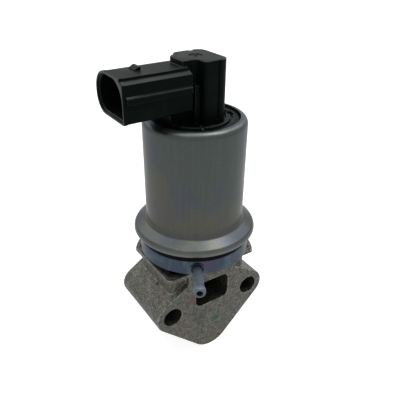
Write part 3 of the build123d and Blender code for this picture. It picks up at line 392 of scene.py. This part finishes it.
def cast_skin():
    """Die cast skin: pitted grain, dark pores, cloudy stains and a painted sparkle of bright specks."""
    tree, given, out = group("Cast skin", {
        "Base": (0.15, 0.15, 0.14, 1), "Dark": (0.06, 0.06, 0.05, 1), "Stain": (0.15, 0.12, 0.1, 1),
        "Roughness": 0.6})
    where = put(tree, "ShaderNodeTexCoord").outputs["Object"]
    cloud = noise(tree, where, 70.0, 5.0, 0.65, 0.5)
    grain = noise(tree, where, 1800.0, 4.0, 0.75)
    lumps = noise(tree, where, 500.0, 3.0, 0.6)
    pores = put(tree, "ShaderNodeTexVoronoi", {"Vector": where, "Scale": 520.0, "Randomness": 1.0}).outputs["Distance"]
    pore = times(tree, spread(tree, pores, 0.22, 0.08), spread(tree, noise(tree, where, 260.0), 0.52, 0.6))
    tone = blend(tree, spread(tree, cloud, 0.45, 0.68, 0.0, 0.75), given["Base"], given["Stain"])
    tone = blend(tree, spread(tree, cloud, 0.46, 0.3, 0.0, 0.55), tone, given["Dark"])
    tone = blend(tree, times(tree, pore, 0.85), tone, given["Dark"])
    shade = spread(tree, mixture(tree, grain, 0.7, lumps), 0.4, 0.6, 0.36, 1.7)
    # Painted sparkle: random bright specks that stand for glints on the cast grain.
    fleck = spread(tree, noise(tree, where, 2000.0, 2.0, 0.8), 0.57, 0.66, 1.0, 2.6)
    tone = spotted(tree, where, blend(tree, 1.0, tone, shade, "MULTIPLY"), CAST_SPOTS)
    height = maths(tree, "SUBTRACT", mixture(tree, grain, 0.4, lumps), times(tree, pore, 0.7))
    tone = blend(tree, 1.0, tone, fleck, "MULTIPLY")
    return give(tree, out, tone, swung(tree, given["Roughness"], grain, 0.35), height)


def moulded_skin():
    """Glass filled moulding: fine spark texture, dull cloudiness, dusty flecks and the painted glints at the foot of
    the fin.
    """
    tree, given, out = group("Moulded skin", {
        "Base": (0.01, 0.01, 0.01, 1), "Dust": (0.05, 0.05, 0.05, 1), "Dustiness": 0.3, "Roughness": 0.45})
    where = put(tree, "ShaderNodeTexCoord").outputs["Object"]
    cloud = noise(tree, where, 110.0, 4.0, 0.6, 0.3)
    grain = noise(tree, where, 2200.0, 3.0, 0.6)
    fleck = spread(tree, noise(tree, where, 900.0, 4.0, 0.75), 0.62, 0.72)
    dust = times(tree, plus(tree, fleck, spread(tree, cloud, 0.5, 0.7, 0.0, 0.5)), given["Dustiness"], True)
    tone = spotted(tree, where, blend(tree, dust, given["Base"], given["Dust"]), PAINTED_PLASTIC_GLINTS)
    return give(tree, out, tone, swung(tree, given["Roughness"], cloud, 0.4), grain)


SKINS = {}
FINISHES = {}


def skin(kind):
    """The shared node group of that kind, built once."""
    if kind not in SKINS:
        SKINS[kind] = {"plated": plated_skin, "cast": cast_skin, "moulded": moulded_skin}[kind]()
    return SKINS[kind]


# ------------------------------------------------------------------ materials
def blank_material(name):
    """A new material without nodes, and its tree."""
    made = bpy.data.materials.new(name)
    made.use_nodes = True
    made.node_tree.nodes.clear()
    return made, made.node_tree


def material(name, kind, values, bump, depth, **shader):
    """A surface: one skin group feeding colour, roughness and bump of a Principled shader; depth in millimetres."""
    made, tree = blank_material("finish_" + name)
    face = put(tree, "ShaderNodeGroup", node_tree=skin(kind))
    for key, value in values.items():
        face.inputs[key].default_value = value
    relief = put(tree, "ShaderNodeBump", {"Height": face.outputs["Height"], "Strength": bump, "Distance": depth * MM})
    surface = put(tree, "ShaderNodeBsdfPrincipled",
                  {"Base Color": face.outputs["Colour"], "Roughness": face.outputs["Roughness"],
                   "Normal": relief.outputs[0], **shader})
    put(tree, "ShaderNodeOutputMaterial", {"Surface": surface.outputs[0]})
    return made


def lighter(colour, factor):
    return tuple(min(1.0, c * factor) for c in colour)


def plated(name, base, cool, warm, rough, metallic, patch, drift, bump=0.12, rim=1.0, tarnish=0.0):
    """Plated metal; patch is the scale of its drifts and rim tints its reflections at a glancing angle."""
    values = {"Base": rgba(base), "Cool": rgba(cool), "Warm": rgba(warm), "Worn": rgba(colours().zinc_highlight_paint),
              "Patch": patch, "Drift": drift, "Roughness": rough, "Tarnish": tarnish}
    return material(name, "plated", values, bump, 0.05, Metallic=metallic, **{"Specular Tint": (rim, rim, rim, 1.0)})


def plain_metal(name, base, rough=0.3, metallic=1.0):
    """Bare metal with the plated skin's grain but only its own tone."""
    return plated(name, base, lighter(base, 0.85), lighter(base, 1.12), rough, metallic, 90.0, 0.6, 0.1)


def cast(name, base, dark, stain, rough, bump, depth, **shader):
    values = {"Base": rgba(base), "Dark": rgba(dark), "Stain": rgba(stain), "Roughness": rough}
    return material(name, "cast", values, bump, depth, **shader)


def moulded(name, base, dust, dustiness=0.3, rough=0.42, specular=0.03, bump=0.25):
    values = {"Base": rgba(base), "Dust": rgba(dust), "Dustiness": dustiness, "Roughness": rough}
    return material(name, "moulded", values, bump, 0.05,
                    **{"Specular IOR Level": specular, "Specular Tint": (0.8, 1.0, 0.96, 1.0)})


def finish_for(slot):
    """The material of a record slot, or of a finish that only this scene has; each is made once."""
    c = colours()
    makers = {
        "zinc_steel_can": lambda: plated(slot, c.zinc, c.zinc_cool, c.zinc_warm, rough=0.34, metallic=0.92,
                                         patch=40.0, drift=0.7, bump=0.2, rim=0.75, tarnish=0.8),
        "blue_zinc_steel": lambda: plated(slot, c.blue, c.blue_cool, c.blue_warm, rough=0.36, metallic=0.9,
                                          patch=130.0, drift=1.0, rim=0.7),
        "nipple": lambda: plated(slot, c.nipple, c.blue_cool, c.blue_warm, rough=0.52, metallic=0.6,
                                 patch=130.0, drift=0.5),
        "cast_aluminium": lambda: cast(slot, c.cast, c.cast_dark, c.cast_stain, rough=0.6, bump=0.7, depth=0.16,
                                       Metallic=0.5),
        # Paler casting on the rounded edges: a painted highlight along the edges.
        "cast_edge": lambda: cast(slot, lighter(c.cast, 1.7), c.cast, lighter(c.cast, 1.2), rough=0.5, bump=0.5,
                                  depth=0.12, Metallic=0.6),
        # Painted shade inside the bores, passages and corner pockets.
        "soot": lambda: cast(slot, c.soot, lighter(c.soot, 0.5), lighter(c.soot, 1.6), rough=0.8, bump=0.6,
                             depth=0.15, Metallic=0.0, **{"Specular IOR Level": 0.1}),
        "black_plastic": lambda: moulded(slot, c.plastic, c.plastic_dust_and_highlight, dustiness=0.2),
        # Glossier plastic, lightened as a painted highlight on edges, bevel, rail, end face and fin top.
        "rubbed_plastic": lambda: moulded(slot, c.plastic, c.plastic_dust_and_highlight, dustiness=0.5, rough=0.3, specular=0.13),
        "dusty_plastic": lambda: moulded(slot, c.plastic_top, c.plastic_dust_and_highlight, dustiness=0.6),
        "lid": lambda: moulded(slot, c.lid, c.plastic_dust_and_highlight, dustiness=0.6),
        "bright_steel": lambda: plain_metal(slot, c.bright_steel),
        "dark_steel": lambda: plain_metal(slot, c.dark_steel, rough=0.5, metallic=0.4),
        "bronze": lambda: plain_metal(slot, c.bronze, rough=0.4),
        "copper": lambda: plain_metal(slot, c.copper, rough=0.35),
        "tinned_brass": lambda: plain_metal(slot, c.tinned_brass, rough=0.32),
        "natural_plastic": lambda: moulded(slot, c.natural_plastic, c.natural_dust, rough=0.5, specular=0.4),
        "black_rubber": lambda: moulded(slot, c.rubber, c.rubber_dust, rough=0.7, specular=0.04),
        "gasket_fibre": lambda: moulded(slot, c.fibre, c.fibre_dust, dustiness=0.6, rough=0.8, specular=0.2, bump=0.6),
        "board_green": lambda: moulded(slot, c.board, c.board_dust, rough=0.4, specular=0.5),
    }
    if slot not in FINISHES:
        FINISHES[slot] = makers[slot]()
    return FINISHES[slot]


# ------------------------------------------------------------------ mesh helpers
def settle(piece, nodes):
    """Gives a piece the body of the nodes that it stands for, and hides these nodes."""
    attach(piece, BODY_OF[nodes[0]])
    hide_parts(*nodes)
    return piece


def dress(piece, *materials):
    for m in materials:
        piece.data.materials.append(m)
    return piece


def read(items, what, width=3, kind=float):
    """One property of all points, edges or faces, as an array with a row for each."""
    values = np.empty(len(items) * width, dtype=kind)
    items.foreach_get(what, values)
    return values.reshape(-1, width)


@contextmanager
def opened(mesh, write=True):
    """The mesh as a bmesh, which is written back at the end unless it's only read."""
    work = bmesh.new()
    work.from_mesh(mesh)
    yield work
    if write:
        work.to_mesh(mesh)
    work.free()


def mesh_piece(name, points, faces, smooth=True):
    """A new mesh object from an array of points and an array of quads."""
    mesh = bpy.data.meshes.new(name)
    mesh.from_pydata(points.tolist(), [], faces.tolist())
    mesh.polygons.foreach_set("use_smooth", np.full(len(mesh.polygons), smooth))
    mesh.update()
    piece = bpy.data.objects.new(name, mesh)
    bpy.context.scene.collection.objects.link(piece)
    return piece


def rounded(corners, radii, steps):
    """Profile with rounded corners: each corner becomes the arc that touches both of its sides.

    For a corner of half angle a and radius r the arc starts r / tan(a) before the corner, and its centre lies on
    the bisector at r / sin(a). The arc's points are the centre plus r times a unit vector turned evenly.
    """
    p = np.array(corners, float)
    r = np.array(radii, float)
    before = np.roll(p, 1, axis=0) - p
    after = np.roll(p, -1, axis=0) - p
    u = before / np.linalg.norm(before, axis=1, keepdims=True)
    v = after / np.linalg.norm(after, axis=1, keepdims=True)
    half = np.arccos(np.clip((u * v).sum(1), -1, 1)) / 2
    bisector = u + v
    bisector /= np.linalg.norm(bisector, axis=1, keepdims=True)
    centre = p + bisector * (r / np.sin(half))[:, None]
    start = p + u * (r / np.tan(half))[:, None]
    end = p + v * (r / np.tan(half))[:, None]
    first = start - centre
    last = end - centre
    a0 = np.arctan2(first[:, 1], first[:, 0])
    sweep = np.arctan2(last[:, 1], last[:, 0]) - a0
    sweep = (sweep + math.pi) % math.tau - math.pi
    t = np.linspace(0, 1, steps)
    angle = a0[:, None] + sweep[:, None] * t
    arc = centre[:, None] + r[:, None, None] * np.stack([np.cos(angle), np.sin(angle)], -1)
    return arc.reshape(-1, 2)


def turned(name, profile, steps, place):
    """Closed profile turned about its own Z axis: point = (radius cos a, radius sin a, height), then placed."""
    angle = np.linspace(0, math.tau, steps, endpoint=False)
    radius, height = profile[:, 0], profile[:, 1]
    x = np.outer(np.cos(angle), radius)
    y = np.outer(np.sin(angle), radius)
    z = np.broadcast_to(height, x.shape)
    points = np.stack([x, y, z], -1).reshape(-1, 3)
    m = np.array(place)
    points = points @ m[:3, :3].T + m[:3, 3]
    n = len(profile)
    i, j = np.meshgrid(np.arange(steps), np.arange(n), indexing="ij")
    i2, j2 = (i + 1) % steps, (j + 1) % n
    faces = np.stack([i * n + j, i2 * n + j, i2 * n + j2, i * n + j2], -1).reshape(-1, 4)
    piece = mesh_piece(name, points, faces)
    with opened(piece.data) as work:
        bmesh.ops.recalc_face_normals(work, faces=work.faces)
    return piece


def merged_copy(node, name, materials, mark=None):
    """A copy of a node with its doubled points merged and its flat faces joined.

    mark gives the faces their materials.
    """
    mesh = frame["nodes"][node].data.copy()
    mesh.name = name
    with opened(mesh) as work:
        bmesh.ops.remove_doubles(work, verts=work.verts, dist=MERGE)
        bmesh.ops.dissolve_limit(work, angle_limit=FLAT, verts=work.verts, edges=work.edges,
                                 use_dissolve_boundaries=False)
    mesh.polygons.foreach_set("use_smooth", np.full(len(mesh.polygons), True))
    mesh.materials.clear()
    if mark:
        mark(mesh)
    piece = dress(bpy.data.objects.new(name, mesh), *materials)
    bpy.context.scene.collection.objects.link(piece)
    return piece


def dressed_copy(node, name, edge, steps, materials, mark=None, edge_material=0, tries=4):
    """A merged copy of a node with its edges rounded; the rounded edges take the material of edge_material.

    Where short arcs meet, the rounding throws points off, and these go back to the solid. An edge whose rounding
    folds over itself stays sharp.
    """
    piece = merged_copy(node, name, materials, mark)
    plain = piece.data
    add_bevel(piece, edge, steps, edge_material)
    weight = sharper(plain, SHARP).astype(np.float32)
    plain.attributes.new("bevel_weight_edge", "FLOAT", "EDGE")
    for _ in range(tries):
        plain.attributes["bevel_weight_edge"].data.foreach_set("value", weight)
        plain.update()
        mesh = bpy.data.meshes.new_from_object(piece.evaluated_get(bpy.context.evaluated_depsgraph_get()))
        pull_back(mesh, frame["nodes"][node].data, THROWN * edge)
        close = edges_near(plain, folds(mesh), edge) & (weight > 0)
        if not close.any():
            break
        weight[close] = 0
    mesh.name = name
    piece.data = mesh
    piece.modifiers.clear()
    bpy.data.meshes.remove(plain)
    mesh.edges.foreach_set("use_edge_sharp", sharper(mesh, CREASE))
    weighted = piece.modifiers.new("even shading", "WEIGHTED_NORMAL")
    weighted.keep_sharp = True
    return piece


def add_bevel(piece, edge, steps, edge_material):
    bevel = piece.modifiers.new("rounded edges", "BEVEL")
    bevel.width = edge
    bevel.segments = steps
    bevel.limit_method = "WEIGHT"
    bevel.use_clamp_overlap = False
    bevel.miter_outer = "MITER_ARC"
    bevel.material = edge_material


def sharper(mesh, angle):
    """Which edges are sharper than an angle."""
    with opened(mesh, write=False) as work:
        return np.array([line.calc_face_angle(0) > angle for line in work.edges])


def folds(mesh):
    """The middles of edges where two faces lie folded on each other."""
    with opened(mesh, write=False) as work:
        found = [(line.verts[0].co + line.verts[1].co) / 2 for line in work.edges
                 if len(line.link_faces) == 2 and line.calc_face_angle() > FOLDED
                 and min(face.calc_area() for face in line.link_faces) > LEAST_FOLD]
    return np.array(found).reshape(-1, 3)


def edges_near(mesh, places, reach):
    """Which edges pass within reach of any of the places."""
    start, end = read(mesh.vertices, "co")[read(mesh.edges, "vertices", 2, np.int32)].transpose(1, 0, 2)
    along = end - start
    close = np.zeros(len(start), dtype=bool)
    for place in places:
        share = np.clip(((place - start) * along).sum(1) / (along * along).sum(1), 0, 1)
        close |= np.linalg.norm(start + share[:, None] * along - place, axis=1) < reach
    return close


def pull_back(mesh, source, reach):
    """Moves each point that is further from the solid than reach to the nearest place on it."""
    solid = BVHTree.FromPolygons([v.co for v in source.vertices], [p.vertices for p in source.polygons])
    with opened(mesh) as work:
        for vertex in work.verts:
            near, _, _, distance = solid.find_nearest(vertex.co)
            if distance > reach:
                vertex.co = near
        bmesh.ops.dissolve_degenerate(work, dist=SLIVER, edges=work.edges)


def mark_passages(mesh):
    """Gives the second material, a painted shade, to faces inside the bolt holes, the window, the inlet port and the
    corner pockets.

    A face counts as inside where its middle lies under the front or rear skin and within the opening's outline.
    """
    s = sizes()
    margin = s.passage_margin
    x, y, z = read(mesh.polygons, "center").T
    deep = y + s.axis_back
    under = (y < -s.skin_depth) & (y > s.skin_depth - s.body_depth)
    bolts = np.hypot(np.abs(x) - s.hole_offset, z) < s.hole_radius + margin
    window = (np.abs(x) < s.window_half + margin) & (z > s.window_low - margin) & (z < s.window_high + margin)
    port = np.hypot(x, z + s.port_drop) < s.port_radius + margin
    chamber = (np.hypot(x, deep) < s.port_radius + s.chamber_margin) & (z > -s.port_drop) & (z < 0)
    pocket = (np.abs(x) < s.pocket_side) & (deep > s.pocket_front) & (deep < s.pocket_rear)
    pocket &= (z > s.pocket_floor) & (z < s.pocket_top)
    inside = (under & (bolts | window | port | chamber)) | pocket
    mesh.polygons.foreach_set("material_index", inside.astype(np.int32))


def mark_moulding(mesh):
    """Second material, glossier plastic with a painted highlight, for the connector's bevel, rail and end face and for
    the fin's top; third for its own top.

    The bevel and the rail's upper side face the front and upwards at once; the tops face straight up.
    """
    s = sizes()
    x, y, z = read(mesh.polygons, "center").T
    nx, ny, nz = read(mesh.polygons, "normal").T
    socket = (x < -s.socket_end) & (np.abs(nx) < 0.2)
    slanted = socket & (ny < -0.3) & (nz > 0.3)
    high = z > s.socket_middle
    upper = socket & (nz > 0.95) & high
    fin = (nz > 0.9) & high & (x > s.fin_left) & (x < s.fin_right) & (y + s.axis_back < s.fin_back)
    mouth = (nx < -0.9) & (x < -s.mouth_land)
    mesh.polygons.foreach_set("material_index", ((slanted | fin | mouth) + 2 * upper).astype(np.int32))


def paint_can_highlight(mesh, low, top):
    """Painted highlight of the can: full on the flange's turned down edge, faint on the shoulder of the rim.

    Each is a bell curve of the height.
    """
    s = sizes()
    x, y, z = read(mesh.vertices, "co").T
    outer = np.hypot(x, y + s.axis_back) > s.flange_radius - s.can_wall / 2
    lip = outer * np.exp(-((z - low) / s.flange_lip) ** 2)
    rim = 0.1 * np.exp(-((top - z) / (0.4 * s.rim_roll)) ** 2)
    wear = mesh.attributes.new("wear", "FLOAT", "POINT")
    wear.data.foreach_set("value", np.maximum(lip, rim).astype(np.float32))


def axis_place():
    """Where the valve axis stands."""
    return Matrix.Translation((0, -sizes().axis_back, 0))


# ------------------------------------------------------------------ pieces
class VALVE_OT_can(bpy.types.Operator):
    """Drawn solenoid can with rolled flange, flare and rolled rim"""
    bl_idname = "valve.can"
    bl_label = "Solenoid can"

    def execute(self, context):
        s = sizes()
        low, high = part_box("solenoid_can")
        top, wall, thin, r = high.z, s.can_wall, s.sheet_edge, s.can_radius
        lip = s.flange_radius - wall
        edge = low.z + s.flange_lip
        foot = edge + s.flange_fall
        slope = s.flange_fall / (s.flange_radius - r)
        drop = wall * (math.hypot(1, slope) - slope)
        corners = [(lip, low.z), (s.flange_radius, low.z), (s.flange_radius, edge), (r, foot),
                   (r, top), (s.mouth_radius, top), (s.mouth_radius, top - wall), (r - wall, top - wall),
                   (r - wall, foot - drop), (lip, edge - drop)]
        radii = [thin, s.lip_edge, s.flange_roll, s.flare, s.rim_roll, thin, thin, s.rim_roll - wall,
                 s.flare + wall, s.flange_roll - wall]
        piece = turned("can_shell", rounded(corners, radii, 12), s.round_steps, axis_place())
        paint_can_highlight(piece.data, low.z, top)
        settle(dress(piece, finish_for("zinc_steel_can")), ["solenoid_can"])
        return {"FINISHED"}


class VALVE_OT_ring(bpy.types.Operator):
    """Blue plated spacer ring with the collar of its vent"""
    bl_idname = "valve.ring"
    bl_label = "Spacer ring"

    def execute(self, context):
        piece = dressed_copy("vent_spacer", "vent_ring", sizes().machined_edge, 2, [finish_for("blue_zinc_steel")])
        settle(piece, ["vent_spacer"])
        return {"FINISHED"}


class VALVE_OT_nipple(bpy.types.Operator):
    """Hose nipple with a rounded bead"""
    bl_idname = "valve.nipple"
    bl_label = "Hose nipple"

    def execute(self, context):
        s = sizes()
        bead = s.nipple_tip - s.bead_length
        corners = [(s.nipple_bore, s.nipple_root), (s.nipple_tube, s.nipple_root), (s.nipple_tube, bead),
                   (s.nipple_bead, bead + s.bead_taper), (s.nipple_bead, s.nipple_tip), (s.nipple_bore, s.nipple_tip)]
        radii = [0.1 * MM, 0.2 * MM, 0.9 * MM, 0.8 * MM, 0.9 * MM, 0.2 * MM]
        place = axis_place() @ Matrix.Translation((0, 0, s.nipple_height)) @ Matrix.Rotation(s.nipple_turn, 4, "Z")
        place = place @ Matrix.Rotation(math.radians(90), 4, "Y")
        piece = turned("hose_nipple", rounded(corners, radii, 8), s.round_steps // 3, place)
        settle(dress(piece, finish_for("nipple")), ["vent_nipple"])
        return {"FINISHED"}


class VALVE_OT_casting(bpy.types.Operator):
    """Die cast body with softened edges, a painted highlight on them and painted shade in its passages and pockets."""
    bl_idname = "valve.casting"
    bl_label = "Body casting"

    def execute(self, context):
        finishes = [finish_for("cast_aluminium"), finish_for("soot"), finish_for("cast_edge")]
        settle(dressed_copy("base_casting", "cast_body", sizes().cast_edge, 3, finishes, mark_passages, 2),
               ["base_casting"])
        return {"FINISHED"}


class VALVE_OT_head(bpy.types.Operator):
    """Head moulding and the lid of its tower"""
    bl_idname = "valve.head"
    bl_label = "Sensor head"

    def execute(self, context):
        s = sizes()
        finishes = [finish_for("black_plastic"), finish_for("rubbed_plastic"), finish_for("dusty_plastic")]
        # The rounded edges take the second material, a painted highlight.
        settle(dressed_copy("sensor_housing", "head_moulding", s.moulded_edge, 2, finishes, mark_moulding, 1),
               ["sensor_housing"])
        settle(dressed_copy("tower_lid", "head_lid", s.moulded_edge, 2, [finish_for("lid")]), ["tower_lid"])
        return {"FINISHED"}


class VALVE_OT_springs(bpy.types.Operator):
    """Return spring, which goes with its body, and plunger spring"""
    bl_idname = "valve.springs"
    bl_label = "Springs"

    def execute(self, context):
        steel = [finish_for("bright_steel")]
        pressed = settle(merged_copy("return_spring", "return_coil", steel), ["return_spring"])
        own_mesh(pressed)
        drawn = merged_copy("plunger_spring", "plunger_coil", steel)
        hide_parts("plunger_spring")
        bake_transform(drawn)
        return {"FINISHED"}


class VALVE_OT_inner(bpy.types.Operator):
    """Finishes of the nodes that keep their own shape"""
    bl_idname = "valve.inner"
    bl_label = "Inner pieces"

    def execute(self, context):
        for name, node in frame["nodes"].items():
            if node.hide_render:
                continue
            node.data.materials.clear()
            node.data.materials.append(finish_for(SLOT_OF[name]))
        return {"FINISHED"}


class VALVE_OT_stage(bpy.types.Operator):
    """Pale floor, soft lamps, even room light and the camera"""
    bl_idname = "valve.stage"
    bl_label = "Studio"

    def execute(self, context):
        scene = context.scene
        s = scene.valve_studio
        low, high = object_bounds()
        make_floor(low.z)
        make_room(scene, s.room)
        aim = Vector((0, -sizes().axis_back, (low.z + high.z) / 2))
        for name, place, size, power in LAMPS:
            make_lamp(name, aim + Vector(place), aim, size, getattr(s, power))
        make_camera(scene, s)
        scene.view_settings.view_transform = "Standard"
        return {"FINISHED"}


def make_floor(height):
    """Large flat floor, pale and almost white where nothing shades it."""
    half = 2.0
    points = np.array([[-half, -half, height], [half, -half, height], [half, half, height], [-half, half, height]])
    floor = mesh_piece("floor", points, np.array([[0, 1, 2, 3]]), False)
    made, tree = blank_material("floor_paper")
    lit = put(tree, "ShaderNodeBsdfDiffuse", {"Color": (0.35, 0.35, 0.35, 1)})
    plain = put(tree, "ShaderNodeBsdfDiffuse", {"Color": (0.8, 0.8, 0.8, 1)})
    glow = put(tree, "ShaderNodeEmission", {"Color": (1, 1, 1, 1), "Strength": 0.9})
    shown = put(tree, "ShaderNodeAddShader", {0: lit.outputs[0], 1: glow.outputs[0]})
    both = put(tree, "ShaderNodeMixShader", {0: seen(tree), 1: plain.outputs[0], 2: shown.outputs[0]})
    put(tree, "ShaderNodeOutputMaterial", {"Surface": both.outputs[0]})
    dress(floor, made)
    floor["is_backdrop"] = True


def make_room(scene, strength):
    """Even light from all sides; camera, mirror and glass rays see white."""
    room = bpy.data.worlds.new("room")
    room.use_nodes = True
    tree = room.node_tree
    tree.nodes.clear()
    level = put(tree, "ShaderNodeMapRange", {0: seen(tree), 1: 0.0, 2: 1.0, 3: strength, 4: 1.0}).outputs[0]
    ground = put(tree, "ShaderNodeBackground", {"Color": (1, 1, 1, 1), "Strength": level})
    put(tree, "ShaderNodeOutputWorld", {"Surface": ground.outputs[0]})
    scene.world = room


def make_lamp(name, place, aim, size, power):
    """Square area lamp that faces the aim."""
    data = bpy.data.lights.new(name, "AREA")
    data.shape = "SQUARE"
    data.size = size
    data.energy = power
    lamp = bpy.data.objects.new(name, data)
    lamp.location = place
    lamp.rotation_euler = (aim - place).to_track_quat("-Z", "Y").to_euler()
    bpy.context.scene.collection.objects.link(lamp)


def make_camera(scene, s):
    """Camera looking down at the valve from the front left."""
    data = bpy.data.cameras.new("camera")
    data.lens = s.lens
    data.sensor_width = s.sensor
    data.shift_x = s.shift_x
    data.shift_y = s.shift_y
    data.clip_start = 0.01
    data.clip_end = 20.0
    camera = bpy.data.objects.new("camera", data)
    turn = Matrix.Rotation(-s.heading, 4, "Z") @ Matrix.Rotation(math.radians(90) - s.tilt, 4, "X")
    turn = turn @ Matrix.Rotation(s.roll, 4, "Z")
    camera.matrix_world = Matrix.Translation(s.place) @ turn
    scene.collection.objects.link(camera)
    scene.camera = camera


class VALVE_PT_panel(bpy.types.Panel):
    bl_idname = "VALVE_PT_panel"
    bl_label = "Gas valve"
    bl_space_type = "VIEW_3D"
    bl_region_type = "UI"
    bl_category = "Valve"

    def draw(self, context):
        for operator in STEPS:
            self.layout.operator(operator.bl_idname)
        for settings in (context.scene.valve_sizes, context.scene.valve_colours, context.scene.valve_studio):
            box = self.layout.box()
            for key in settings.__annotations__:
                box.prop(settings, key)


STEPS = (VALVE_OT_can, VALVE_OT_ring, VALVE_OT_nipple, VALVE_OT_casting, VALVE_OT_head, VALVE_OT_springs,
         VALVE_OT_inner, VALVE_OT_stage)
SETTINGS = (ValveSizes, ValveColours, ValveStudio)


def register():
    for c in (*SETTINGS, *STEPS, VALVE_PT_panel):
        bpy.utils.register_class(c)
    bpy.types.Scene.valve_sizes = PointerProperty(type=ValveSizes)
    bpy.types.Scene.valve_colours = PointerProperty(type=ValveColours)
    bpy.types.Scene.valve_studio = PointerProperty(type=ValveStudio)


def unregister():
    del bpy.types.Scene.valve_studio
    del bpy.types.Scene.valve_colours
    del bpy.types.Scene.valve_sizes
    for c in reversed((*SETTINGS, *STEPS, VALVE_PT_panel)):
        bpy.utils.unregister_class(c)


def main():
    register()
    for operator in STEPS:
        family, name = operator.bl_idname.split(".")
        getattr(getattr(bpy.ops, family), name)()


if __name__ == "__main__":
    main()
